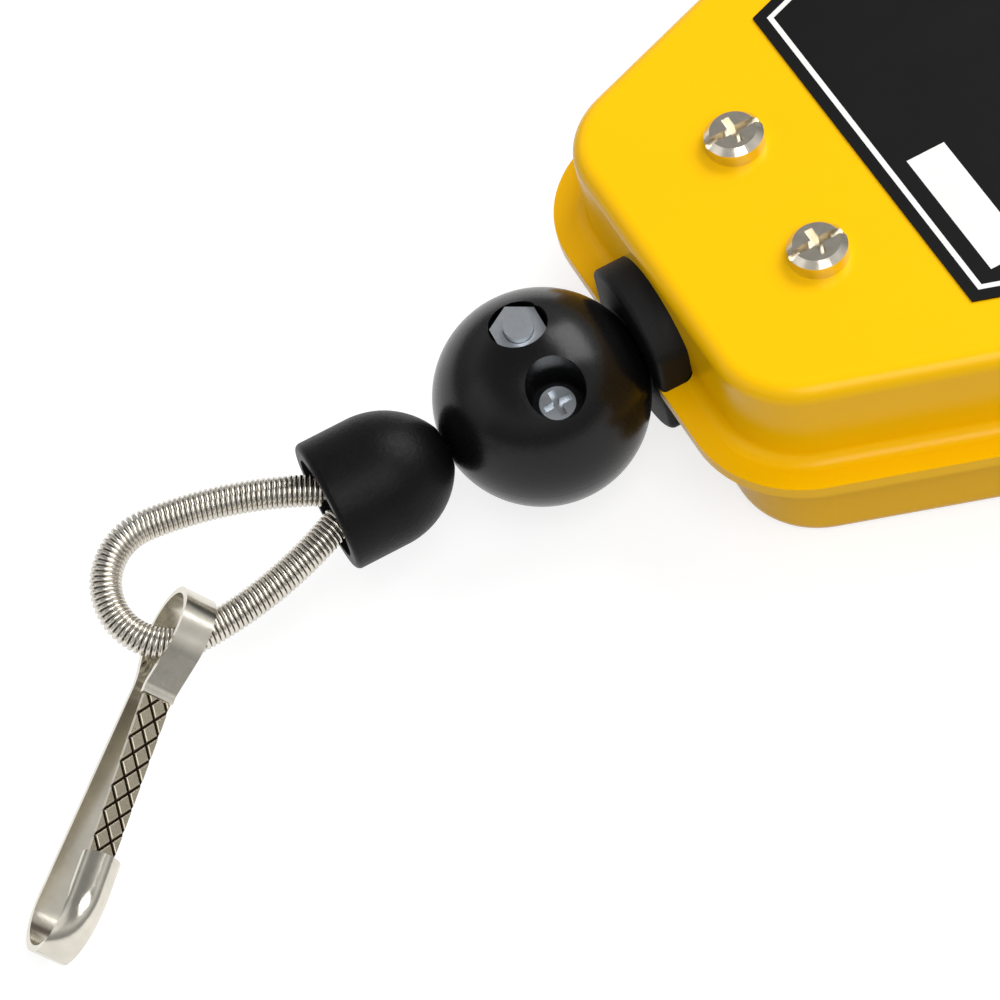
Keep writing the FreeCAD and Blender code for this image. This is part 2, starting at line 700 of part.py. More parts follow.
def rope_drum():
    drum = new_body("rope_drum", ("drum_offset", "0", "drum_base"))
    floor = "(wrap_radius - rope_radius)"
    height = "(drum_height - drum_cover_gauge)"
    profile = [("bush_outer", "0"), ("drum_flange", "0"), ("drum_flange", "drum_flange_gauge"),
               (floor, "drum_flange_gauge"), (floor, height), ("drum_cavity", height),
               ("drum_cavity", "drum_web"), ("drum_boss", "drum_web"),
               ("drum_boss", "bush_length"), ("bush_outer", "bush_length")]
    spin(drum, draw_outline(sketch_on(drum, "XZ_Plane"), profile))
    ring = f"((drum_cavity + {floor}) / 2)"
    taps = [(f"{ring} * cos({turn})", f"{ring} * sin({turn})", "drum_screw_shank + thread_play")
            for turn in (30, 150, 270)]
    deep = "drum_screw_grip"
    cut_holes(drum, "XY_Plane", taps, deep, height)
    middle = "((drum_cavity + drum_boss) / 2 + window_shift)"
    window = "(drum_cavity - drum_boss) / 2 - window_margin"
    windows = [(f"{middle} * cos({turn})", f"{middle} * sin({turn})", window)
               for turn in range(0, 360, 60)]
    cut_holes(drum, "XY_Plane", windows, "drum_web", "drum_web")

    cover = new_body("drum_cover", ("drum_offset", "0", BARREL_TOP))
    low = "(drum_cover_gauge - bush_length)"
    profile = [("bush_outer", low), ("drum_boss", low), ("drum_boss", "0"), ("drum_flange", "0"),
               ("drum_flange", "drum_cover_gauge"), ("bush_outer", "drum_cover_gauge")]
    spin(cover, draw_outline(sketch_on(cover, "XZ_Plane"), profile))
    clear = [(x, y, "drum_screw_shank + hole_play / 2") for x, y, _ in taps]
    cut_holes(cover, "XY_Plane", clear, "drum_cover_gauge", "drum_cover_gauge")

    screw = screw_solid("drum_screw", "drum_screw_shank", "drum_screw_head",
                        "drum_screw_height", "drum_screw_grip", "drum_screw_shank / 2")
    places = [(f"drum_offset + {x}", y) for x, y, _ in taps]
    group("drum_screws", copies(screw, spots(places, DRUM_TOP)))

    bush = new_body("drum_bush")
    bore = "arbor_radius + running_gap"
    ring = [(bore, "0"), ("bush_outer", "0"), ("bush_outer", "bush_length"), (bore, "bush_length")]
    spin(bush, draw_outline(sketch_on(bush, "XZ_Plane"), ring))
    centre = [("drum_offset", "0")]
    low, high = spots(centre, "drum_base") + spots(centre, f"{DRUM_TOP} - bush_length")
    group("drum_bushes", copies(bush, [low, high]))


def half_turns(start_radius, pitch, count, margin):
    """Half circles that grow into a spiral, drawn a margin outside its centre line."""
    edges = []
    at = Vector(start_radius, 0, 0)
    radius = start_radius
    centre = Vector(0, 0, 0)
    for index in range(count):
        side = 1 if index % 2 == 0 else -1
        own = radius + margin
        start = centre + Vector(side * own, 0, 0)
        middle = centre + Vector(0, side * own, 0)
        end = centre - Vector(side * own, 0, 0)
        edges.append(Part.Arc(start, middle, end).toShape())
        centre = centre + Vector(side * pitch / 2, 0, 0)
        radius += pitch / 2
    return edges


def mainspring():
    """The flat spiral strip, hooked into the arbor and coiled out to the drum's wall."""
    gauge = num("mainspring_gauge")
    first = num("arbor_radius") + gauge / 2 + 0.2
    last = num("drum_cavity") - gauge / 2 - 0.3
    count = round(num("mainspring_turns") * 2)
    pitch = (last - first) / (count / 2)
    outer = half_turns(first, pitch, count, gauge / 2)
    inner = half_turns(first, pitch, count, -gauge / 2)
    begin = Part.makeLine(inner[0].Vertexes[0].Point, outer[0].Vertexes[0].Point)
    finish = Part.makeLine(outer[-1].Vertexes[-1].Point, inner[-1].Vertexes[-1].Point)
    wire = Part.Wire(Part.__sortEdges__([begin, *outer, finish, *inner]))
    width = num("mainspring_width")
    strip = Part.Face(wire).extrude(Vector(0, 0, width))
    reach = num("arbor_radius") / 2 + 0.2
    tab = Part.makeBox(first + gauge / 2 - reach, gauge, width, Vector(reach, -gauge / 2, 0))
    spring = group("mainspring", [strip.fuse(tab).removeSplitter().Solids[0]])
    middle = (num("drum_base") + num(DRUM_TOP)) / 2
    spring.Placement = FreeCAD.Placement(Vector(num("drum_offset"), 0, middle - width / 2),
                                         FreeCAD.Rotation())


# Rope

def rope_leave():
    """Where the rope leaves the drum, and the bearing it leaves on, seen along Z."""
    offset, level, radius = num("drum_offset"), num("end_level"), num("wrap_radius")
    away = math.hypot(offset, level)
    bearing = math.atan2(offset, level) - math.asin(radius / away)
    free = math.sqrt(away ** 2 - radius ** 2)
    return Vector(free * math.sin(bearing), free * math.cos(bearing) - level, 0), bearing


def route(points, bends):
    """Straight runs (start, end) joined by tangent arcs (start, middle, end), one bend radius for
    each inner point."""
    runs = []
    start = points[0]
    for index, radius in enumerate(bends, start=1):
        corner = points[index]
        back = (points[index - 1] - corner).normalize()
        on = (points[index + 1] - corner).normalize()
        half = back.getAngle(on) / 2
        reach = radius / math.tan(half)
        inward = (back + on).normalize()
        middle = corner + inward * (radius / math.sin(half) - radius)
        first, last = corner + back * reach, corner + on * reach
        if first.distanceToPoint(start) > 1e-6:
            runs.append((start, first))
        runs.append((first, middle, last))
        start = last
    runs.append((start, points[-1]))
    return runs


def turn_of(run):
    """An arc run's centre, its axis, and the angle that it turns through in degrees."""
    edge = Part.Arc(*run).toShape()
    angle = math.degrees(edge.LastParameter - edge.FirstParameter)
    return edge.Curve.Center, edge.Curve.Axis, angle


def heading(run):
    """The direction in which a run sets out."""
    if len(run) == 2:
        return (run[1] - run[0]).normalize()
    centre, axis, _ = turn_of(run)
    return axis.cross(run[0] - centre).normalize()


def sweep(face, runs):
    """The solid that a flat face leaves when it is carried along straight runs and arcs."""
    solids = []
    for run in runs:
        if len(run) == 2:
            solids.append(face.extrude(run[1] - run[0]))
            face = face.translated(run[1] - run[0])
            continue
        turn = turn_of(run)
        solids.append(face.revolve(*turn))
        face = face.rotated(*turn)
    if len(solids) == 1:
        return solids[0]
    return solids[0].fuse(solids[1:]).removeSplitter().Solids[0]


def tube(runs, radius, bore=0):
    """A round bar, or a pipe with a bore, along runs."""
    start, ahead = runs[0][0], heading(runs[0])
    face = Part.Face(Part.Wire([Part.makeCircle(radius, start, ahead)]))
    if bore:
        face = face.cut(Part.Face(Part.Wire([Part.makeCircle(bore, start, ahead)]))).Faces[0]
    return sweep(face, runs)


def rope_lead():
    """The rope from the drum, round the guide and down to the ball."""
    leave, bearing = rope_leave()
    leave.z = num("drum_base + drum_flange_gauge + rope_radius")
    level = leave + Vector(-math.sin(bearing), -math.cos(bearing), 0) * num("lead_level_run")
    turn = Vector(0, num(END_Y), num(SEAM))
    end = Vector(0, num(f"{BALL_Y} + ball_radius + rope_play"), num(SEAM))
    path = route([leave, level, turn, end], [num("lead_bend * 4"), num("lead_bend")])
    group("rope_lead", [tube(path, num("rope_radius"))])


def rope_on_drum():
    """The wound rope, from where it leaves the drum up to its end at the drum's cover. Each half
    turn is one arc, tilted so that it climbs by half the pitch."""
    leave, _ = rope_leave()
    radius, pitch = num("wrap_radius"), num("wrap_pitch")
    halves = 2 * num("wrap_turns")
    runs = []
    side, level = 1, 0.0
    for index in range(math.ceil(halves)):
        centre = Vector(0, 0, level + pitch / 4)
        out = Vector(side * radius, 0, -pitch / 4)
        ahead = Vector(0, -side * out.Length, 0)
        turn = math.pi * min(1.0, halves - index)

        def on_arc(angle):
            return centre + out * math.cos(angle) + ahead * math.sin(angle)

        runs.append((on_arc(0), on_arc(turn / 2), on_arc(turn)))
        onward = (ahead * math.cos(turn) - out * math.sin(turn)).normalize()
        side, level = -side, level + pitch / 2
    base = Vector(num("drum_offset"), 0, num("drum_base + drum_flange_gauge + rope_radius"))
    start = math.degrees(math.atan2(leave.y, leave.x - base.x))
    at = FreeCAD.Placement(base, FreeCAD.Rotation(Vector(0, 0, 1), start))
    wound = group("rope_on_drum", [tube(runs, num("rope_radius"))])
    wound.Placement = at
    spot = runs[-1][-1] + onward * num("rope_play")
    anchor = Part.makeCylinder(num("anchor_radius"), num("anchor_length"), spot, onward)
    group("rope_anchor", [anchor]).Placement = at


# Worm drive

def turned(*turns):
    """The rotation that makes each (axis, angle) turn in the order given."""
    whole = FreeCAD.Rotation()
    for axis, angle in turns:
        whole = FreeCAD.Rotation(axis, num(angle)).multiply(whole)
    return whole


def set_pose(thing, at, *turns):
    thing.Placement = FreeCAD.Placement(at, turned(*turns))


def worm_wheel():
    wheel = new_body("worm_wheel", ("drum_offset", "0", WHEEL_BASE))
    rim = f"({WHEEL_PITCH} + gear_module)"
    pad(wheel, draw_circle(sketch_on(wheel, "XY_Plane"), "0", "0", rim), "wheel_width")
    cut_holes(wheel, "XY_Plane", [("0", "0", "arbor_radius")], "wheel_width", Reversed=True)
    seat = box_points("0 - 1", "1", "arbor_radius - 1", "arbor_radius + 1")
    pocket(wheel, draw_outline(sketch_on(wheel, "XY_Plane"), seat), "wheel_width", Reversed=True)
    quarter = "(pi * gear_module / 4)"
    deep, out = "(1.3 * gear_module)", "(gear_module + 0.2)"
    wide = f"({quarter} + {out} * tan(20) + gear_play / 2)"
    narrow = f"({quarter} - {deep} * tan(20) + gear_play / 2)"
    gap = [(f"{WHEEL_PITCH} - {deep}", f"0 - {narrow}"), (f"{WHEEL_PITCH} + {out}", f"0 - {wide}"),
           (f"{WHEEL_PITCH} + {out}", wide), (f"{WHEEL_PITCH} - {deep}", narrow)]
    sketch = draw_outline(sketch_on(wheel, "XY_Plane", "wheel_width / 2"), gap)
    lead = "atan(gear_module / (2 * worm_radius))"
    tilt = FreeCAD.Rotation(Vector(1, 0, 0), -num(lead))
    sketch.AttachmentOffset = FreeCAD.Placement(Vector(0, 0, num("wheel_width / 2")), tilt)
    cut = pocket(wheel, sketch, "wheel_width * 1.5", Midplane=True)
    ring = wheel.newObject("PartDesign::PolarPattern", "worm_wheel_teeth")
    ring.Originals = [cut]
    axis = next(item for item in wheel.Origin.OriginFeatures if item.Role == "Z_Axis")
    ring.Axis = (axis, [""])
    ring.Angle = 360
    ring.Occurrences = round(num("wheel_teeth"))
    ring.setExpression("Occurrences", bound("wheel_teeth"))
    wheel.Tip = ring
    doc.recompute()


def worm():
    """A single-start worm between two collars, with journals and a head for a hexagon key."""
    screw = new_body("worm", (WORM_X, "0", WORM_Z), Vector(1, 0, 0), "0 - 90")
    root = "(worm_radius - 1.3 * gear_module)"
    collar, block = WORM_COLLAR, f"({WORM_COLLAR} + 1 + end_play)"
    far = f"({block} + worm_journal_length)"
    profile = [("0", f"0 - {far}"), ("worm_journal", f"0 - {far}"),
               ("worm_journal", f"0 - {collar} - 1"), ("worm_radius", f"0 - {collar} - 1"),
               ("worm_radius", f"0 - {collar}"), (root, f"0 - {collar}"), (root, collar),
               ("worm_radius", collar), ("worm_radius", f"{collar} + 1"),
               ("worm_journal", f"{collar} + 1"), ("worm_journal", f"{far} + end_play"),
               ("worm_head", f"{far} + end_play"),
               ("worm_head", f"{far} + end_play + worm_head_length"),
               ("0", f"{far} + end_play + worm_head_length")]
    spin(screw, draw_outline(sketch_on(screw, "XZ_Plane"), profile))
    quarter = "(pi * gear_module / 4)"
    deep, out = "(1.3 * gear_module + 0.05)", "gear_module"
    wide = f"({quarter} + {deep} * tan(20) - gear_play / 2)"
    narrow = f"({quarter} - {out} * tan(20) - gear_play / 2)"
    start = f"(0 - {WORM_HALF})"
    thread = [(f"worm_radius - {deep}", f"{start} - {wide}"),
              (f"worm_radius + {out}", f"{start} - {narrow}"),
              (f"worm_radius + {out}", f"{start} + {narrow}"),
              (f"worm_radius - {deep}", f"{start} + {wide}")]
    sketch = draw_outline(sketch_on(screw, "XZ_Plane"), thread)
    helix = screw.newObject("PartDesign::AdditiveHelix", "worm_thread")
    helix.Profile = sketch
    helix.ReferenceAxis = (sketch, ["V_Axis"])
    helix.Mode = 0
    helix.Pitch = num("pi * gear_module")
    helix.setExpression("Pitch", bound("pi * gear_module"))
    helix.Height = num(f"2 * {WORM_HALF}")
    helix.setExpression("Height", bound(f"2 * {WORM_HALF}"))
    doc.recompute()
    top = f"({far} + end_play + worm_head_length)"
    side = "(key_flats / sqrt(3))"
    flats = [(f"{side}", "0"), (f"{side} / 2", "key_flats / 2"),
             (f"0 - {side} / 2", "key_flats / 2"), (f"0 - {side}", "0"),
             (f"0 - {side} / 2", "0 - key_flats / 2"), (f"{side} / 2", "0 - key_flats / 2")]
    pocket(screw, draw_outline(sketch_on(screw, "XY_Plane", top), flats), "key_depth")


def worm_supports():
    """Two bearing blocks on the back cover, each held by two rivets."""
    block = new_body("worm_support")
    low, high = "sheet_gauge", "support_height"
    shape = box_points("0 - support_half", "support_half", low, high)
    pad(block, draw_outline(sketch_on(block, "XZ_Plane"), shape), "worm_journal_length")
    bore = [("0", WORM_Z, "worm_journal + running_gap")]
    cut_holes(block, "XZ_Plane", bore, LONG, Midplane=True)
    rivets = [(f"{side}support_rivet_across", "0 - worm_journal_length / 2", "support_rivet")
              for side in ("0 - ", "")]
    cut_holes(block, "XY_Plane", rivets, LONG, Midplane=True)
    near = f"({WORM_COLLAR} + 1 + end_play)"
    ends = [(WORM_X, f"0 - {near}"), (WORM_X, f"{near} + worm_journal_length")]
    group("worm_supports", copies(block, spots(ends, "0")))
    rivet = new_body("support_rivet")
    profile = [("0", "0"), ("support_rivet", "0"), ("support_rivet", high),
               ("support_rivet + 0.3", high), ("support_rivet * 0.6", f"{high} + 0.7"),
               ("0", f"{high} + 0.7")]
    spin(rivet, draw_outline(sketch_on(rivet, "XZ_Plane"), profile))
    places = [(f"{x} {side} support_rivet_across", f"{y} - worm_journal_length / 2")
              for x, y in ends for side in "-+"]
    group("support_rivets", copies(rivet, spots(places, "0")))


# Ball, bell and loop

def ball():
    for side, label in ((1, "ball_half_front"), (-1, "ball_half_back")):
        half = new_body(label, ("0", BALL_Y, SEAM))
        turns = [(Vector(0, 1, 0), "0")] if side > 0 else [(Vector(0, 1, 0), "180")]
        place = Vector(0, num(BALL_Y), num(SEAM))
        set_pose(half, place, *turns, (Vector(0, 1, 0), "ball_roll"))
        quarter = [("0", "0"), ("ball_radius", "0", "ball_radius"), ("0", "ball_radius")]
        spin(half, draw_outline(sketch_on(half, "XZ_Plane"), quarter))
        bore = [("0", "0", "rope_radius + rope_play")]
        cut_holes(half, "XZ_Plane", bore, LONG, Midplane=True)
        near, far = "ball_screw_across", "0 - ball_screw_across"
        holes = [(x, "0", "ball_screw_shank + hole_play / 2") for x in (near, far)]
        cut_holes(half, "XY_Plane", holes, LONG, Reversed=True)
        cut_holes(half, "XY_Plane", [(near, "0", "ball_pocket")], LONG, "ball_head_seat",
                  Reversed=True)
        cut_holes(half, "XY_Plane", [(far, "0", "ball_pocket")], LONG, "ball_nut_seat",
                  Reversed=True)

    screw = new_body("ball_screw")
    low, high = "(0 - ball_screw_tip)", "(ball_head_seat + ball_head_height)"
    profile = [("0", low), ("ball_screw_shank", low), ("ball_screw_shank", "ball_head_seat"),
               ("ball_screw_head", "ball_head_seat"), ("ball_screw_head", f"{high} - 0.8"),
               ("ball_screw_head - 0.9", high), ("0", high)]
    spin(screw, draw_outline(sketch_on(screw, "XZ_Plane"), profile))
    sketch = sketch_on(screw, "XY_Plane", f"{high} - 1.3")
    cross = cross_points("cross_arm * 0.83", "cross_half * 0.82")
    pocket(screw, draw_outline(sketch, cross), "2", Reversed=True)
    nut = new_body("ball_nut")
    side = "(ball_nut_flats / sqrt(3))"
    flats = [(side, "0"), (f"{side} / 2", "ball_nut_flats / 2"),
             (f"0 - {side} / 2", "ball_nut_flats / 2"), (f"0 - {side}", "0"),
             (f"0 - {side} / 2", "0 - ball_nut_flats / 2"),
             (f"{side} / 2", "0 - ball_nut_flats / 2")]
    low = "0 - ball_nut_seat - ball_nut_height"
    sketch = draw_outline(sketch_on(nut, "XY_Plane", low), flats)
    pad(nut, sketch, "ball_nut_height")
    bore = [("0", "0", "ball_screw_shank + thread_play")]
    cut_holes(nut, "XY_Plane", bore, LONG, low, Reversed=True)
    for body, label in ((screw, "ball_screws"), (nut, "ball_nuts")):
        PARTS.remove(body)
        solids = []
        for flip in ("0", "180"):
            solid = body.Shape.copy()
            solid.Placement = FreeCAD.Placement(Vector(num("ball_screw_across"), 0, 0),
                                                FreeCAD.Rotation())
            turn = FreeCAD.Rotation(Vector(0, 1, 0), num(f"ball_roll + {flip}"))
            move = FreeCAD.Placement(Vector(0, num(BALL_Y), num(SEAM)), turn)
            solid.Placement = move.multiply(solid.Placement)
            solids.append(solid)
        group(label, solids)


def bell():
    """The cap over the crimp: a trumpet outside, a socket and a wider hollow inside."""
    cap = new_body("bell_cap", ("0", NOSE_Y, SEAM))
    rise = "(bell_length - bell_straight)"
    grow = "(bell_radius - bell_nose)"
    curve = f"(({grow} ^ 2 + {rise} ^ 2) / (2 * {grow}))"
    shoulder = "(bell_socket + bell_roof)"
    bore = "(rope_radius + rope_play)"
    profile = [(bore, "0"), (bore, "0 - bell_roof"), ("bell_socket_radius", "0 - bell_roof"),
               ("bell_socket_radius", f"0 - {shoulder}"),
               ("bell_hollow", f"0 - {shoulder} - (bell_hollow - bell_socket_radius) / 2"),
               ("bell_hollow", "0 - bell_length"), ("bell_radius", "0 - bell_length"),
               ("bell_radius", f"0 - {rise}", curve), ("bell_nose", "0")]
    spin(cap, draw_outline(sketch_on(cap, "XY_Plane"), profile))
    across = 2 * num("bell_radius")
    round_edges(cap, "bell_edge", lambda edge: abs(edge.BoundBox.XLength - across) < 0.01
                and abs(edge.BoundBox.YMin + num("bell_length")) < 1e-4)


# The loop's plane is rolled about the rope, then lifted and tilted a little at the bell's mouth
LOOP_TURNS = [(Vector(0, 1, 0), "loop_roll"), (Vector(1, 0, 0), "0 - loop_lift"),
              (Vector(0, 0, 1), "0 - loop_tilt")]


def loop_route(inset):
    """The loop's centre line in its own plane, from a depth inside the bell and back to it."""
    spread, bend, leg = num("loop_spread"), num("loop_bend"), num("loop_leg_bend")
    level = num("loop_reach") - bend
    far = leg - bend
    along, across = 2 * level * far, 2 * spread * far
    rest = leg ** 2 - spread ** 2 - far ** 2 - level ** 2
    turn = math.asin(rest / math.hypot(along, across)) - math.atan2(across, along)
    centre = Vector(-far * math.cos(turn), -level - far * math.sin(turn), 0)
    mouth = Vector(spread, 0, 0)
    join = Vector(bend * math.cos(turn), -level + bend * math.sin(turn), 0)
    half = centre + (mouth + join - centre * 2).normalize() * leg
    heading_in = Vector(-(mouth.y - centre.y), mouth.x - centre.x, 0).normalize()
    runs = [(mouth, half, join)]
    strand, crimp_bend = num("loop_strand"), num("loop_crimp_bend")
    if inset > spread:
        corner = mouth + heading_in * ((spread - strand) / -heading_in.x)
        runs = route([Vector(strand, inset, 0), corner, mouth], [crimp_bend]) + runs
    else:
        runs = [(mouth + heading_in * (inset / heading_in.y), mouth)] + runs
    other = [tuple(Vector(-spot.x, spot.y, 0) for spot in reversed(run)) for run in reversed(runs)]
    return runs + [(join, Vector(0, -level - bend, 0), Vector(-join.x, join.y, 0))] + other


def loop():
    rim = Vector(0, num(RIM_Y), num(SEAM))
    deep = num(f"{CRIMP_DEPTH} + crimp_length - 0.1")
    core = group("loop_rope", [tube(loop_route(deep), num("rope_radius"))])
    cover = tube(loop_route(num("spring_inset")), num("spring_outer"), num("spring_bore"))
    spring = group("loop_spring", [cover])
    crimp = new_body("crimp_sleeve")
    half = "(crimp_half_width - crimp_half_height)"
    oval = [(f"0 - {half}", "0 - crimp_half_height"), (half, "0 - crimp_half_height",
            "crimp_half_height + 0.05"), (half, "crimp_half_height"),
            (f"0 - {half}", "crimp_half_height", "crimp_half_height + 0.05")]
    pad(crimp, draw_outline(sketch_on(crimp, "XZ_Plane", f"0 - {CRIMP_DEPTH}"), oval),
        "crimp_length", Reversed=True)
    strands = [(f"{side}loop_strand", "0", "rope_radius + 0.02") for side in ("0 - ", "")]
    cut_holes(crimp, "XZ_Plane", strands, LONG, Midplane=True)
    for thing in (core, spring, crimp):
        set_pose(thing, rim, *LOOP_TURNS)
    top = Vector(0, num(f"{BALL_Y} + ball_radius + rope_play - 0.3"), num(SEAM))
    low = Vector(0, num(f"{RIM_Y} + {CRIMP_DEPTH} + crimp_length + 0.3"), num(SEAM))
    straight = Part.makeCylinder(num("rope_radius"), top.y - low.y, low, Vector(0, 1, 0))
    group("rope_end", [straight])


# Snap hook, bent from one strip of spring steel

def strip(runs, width):
    """A strip of the sheet's gauge along a flat route, its width across the route's plane."""
    half = num("strip_gauge") / 2
    start, ahead = runs[0][0], heading(runs[0])
    side = Vector(-ahead.y, ahead.x, 0) * half
    lift = Vector(0, 0, width / 2)
    corners = [start + side - lift, start + side + lift, start - side + lift, start - side - lift]
    return sweep(Part.Face(Part.makePolygon(corners + corners[:1])), runs)


def tangent_spot(point, radius, side):
    """Where a line from a point touches a circle round the origin, on one side."""
    away = point.Length
    turn = side * math.acos(radius / away)
    unit = point * (radius / away)
    return Vector(unit.x * math.cos(turn) - unit.y * math.sin(turn),
                  unit.x * math.sin(turn) + unit.y * math.cos(turn), 0)


def curl(share, level):
    """The strip's cross-section at a level, curled by a share of the way towards a half pipe."""
    gauge, front = num("strip_gauge"), num("nose_face")
    wide, round_half = num("strip_width") / 2, num("nose_radius")
    half = wide + (round_half - wide) * share
    depth = round_half * share

    def arc(face, across, back):
        return Part.Arc(Vector(back, level, -across), Vector(face, level, 0),
                        Vector(back, level, across)).toShape()

    outer = arc(front, half, front - depth)
    inner = arc(front - gauge, half - gauge * share, front - depth - gauge * (1 - share))
    ends = [Part.makeLine(outer.Vertexes[end].Point, inner.Vertexes[end].Point) for end in (0, 1)]
    return Part.Wire(Part.__sortEdges__([outer, ends[1], inner, ends[0]]))


def hook_pose(thing):
    """The eye hangs on the loop's lower bend, and the hook lies over on its side."""
    bend, angle = num("loop_bend"), math.radians(num("hook_seat"))
    flat = Vector(bend * math.cos(angle), num("loop_bend - loop_reach") - bend * math.sin(angle), 0)
    roll = FreeCAD.Placement(Vector(0, num(RIM_Y), num(SEAM)), turned(*LOOP_TURNS))
    seat = roll.multVec(flat) + Vector(num("eye_shift_x"), num("eye_shift_y"), num("eye_shift_z"))
    set_pose(thing, seat, (Vector(0, 1, 0), "0 - hook_roll"), (Vector(1, 0, 0), "hook_dip"),
             (Vector(0, 0, 1), "hook_heading"))


def snap_hook():
    half = num("strip_gauge") / 2
    radius = num("eye_inner") + half
    bend = num("hook_bend")
    nose_x = num("nose_face") - half
    back_x = nose_x - 2 * bend
    level = -num("hook_level")
    pinch = Vector(-num("back_pinch") - half, -num("back_pinch_level"), 0)
    root = Vector(num("gate_root") - half, -num("gate_root_level"), 0)
    left = tangent_spot(pinch, radius, -1)
    right = tangent_spot(root, radius, 1)
    eye = (left, Vector(0, radius, 0), right)
    back = Vector(back_x, level, 0)
    turn = bend * math.sqrt(0.5)
    under = (back, Vector(back_x + bend - turn, level - turn, 0),
             Vector(back_x + bend, level - bend, 0))
    tip = Vector(num("gate_tip") - half, -num("gate_level"), 0)
    ahead = (tip - root).normalize()
    bottom = root + ahead * num("gate_stub")
    upper = [tuple(reversed(run)) for run in reversed(route([right, root, bottom],
                                                            [num("root_bend")]))]
    width = num("strip_width")
    around = tuple(reversed(eye))
    runs = upper + [around] + route([left, pinch, back], [num("pinch_bend")]) + [under]
    hook = strip(runs, width)
    rings = []
    for share in (0.0, 0.33, 0.67, 1.0):
        ring = curl(max(share, 0.01), level)
        ring.rotate(Vector(back_x + bend, level, 0), Vector(0, 0, 1), -90 * (1 - share))
        rings.append(ring)
    grow = Part.makeLoft(rings, True, False)
    trough = Part.Face(curl(1.0, level)).extrude(Vector(0, num("nose_rise"), 0))
    solid = hook.fuse([grow, trough]).removeSplitter().Solids[0]
    piece = group("snap_hook", [solid])
    hook_pose(piece)
    slit = num("gate_slit")
    wide, slim = num("gate_width") / 2, num("gate_tip_width") / 2
    tongue = strip([(bottom + ahead * slit, tip)], 2 * wide)
    corners = [Vector(level, bottom.y + 1, wide), Vector(level, tip.y - 1, slim),
               Vector(level, tip.y - 1, -slim), Vector(level, bottom.y + 1, -wide)]
    taper = Part.Face(Part.makePolygon(corners + corners[:1])).extrude(Vector(-2 * level, 0, 0))
    gate = group("snap_gate", [tongue.common(taper).Solids[0]])
    hook_pose(gate)


# Hanger

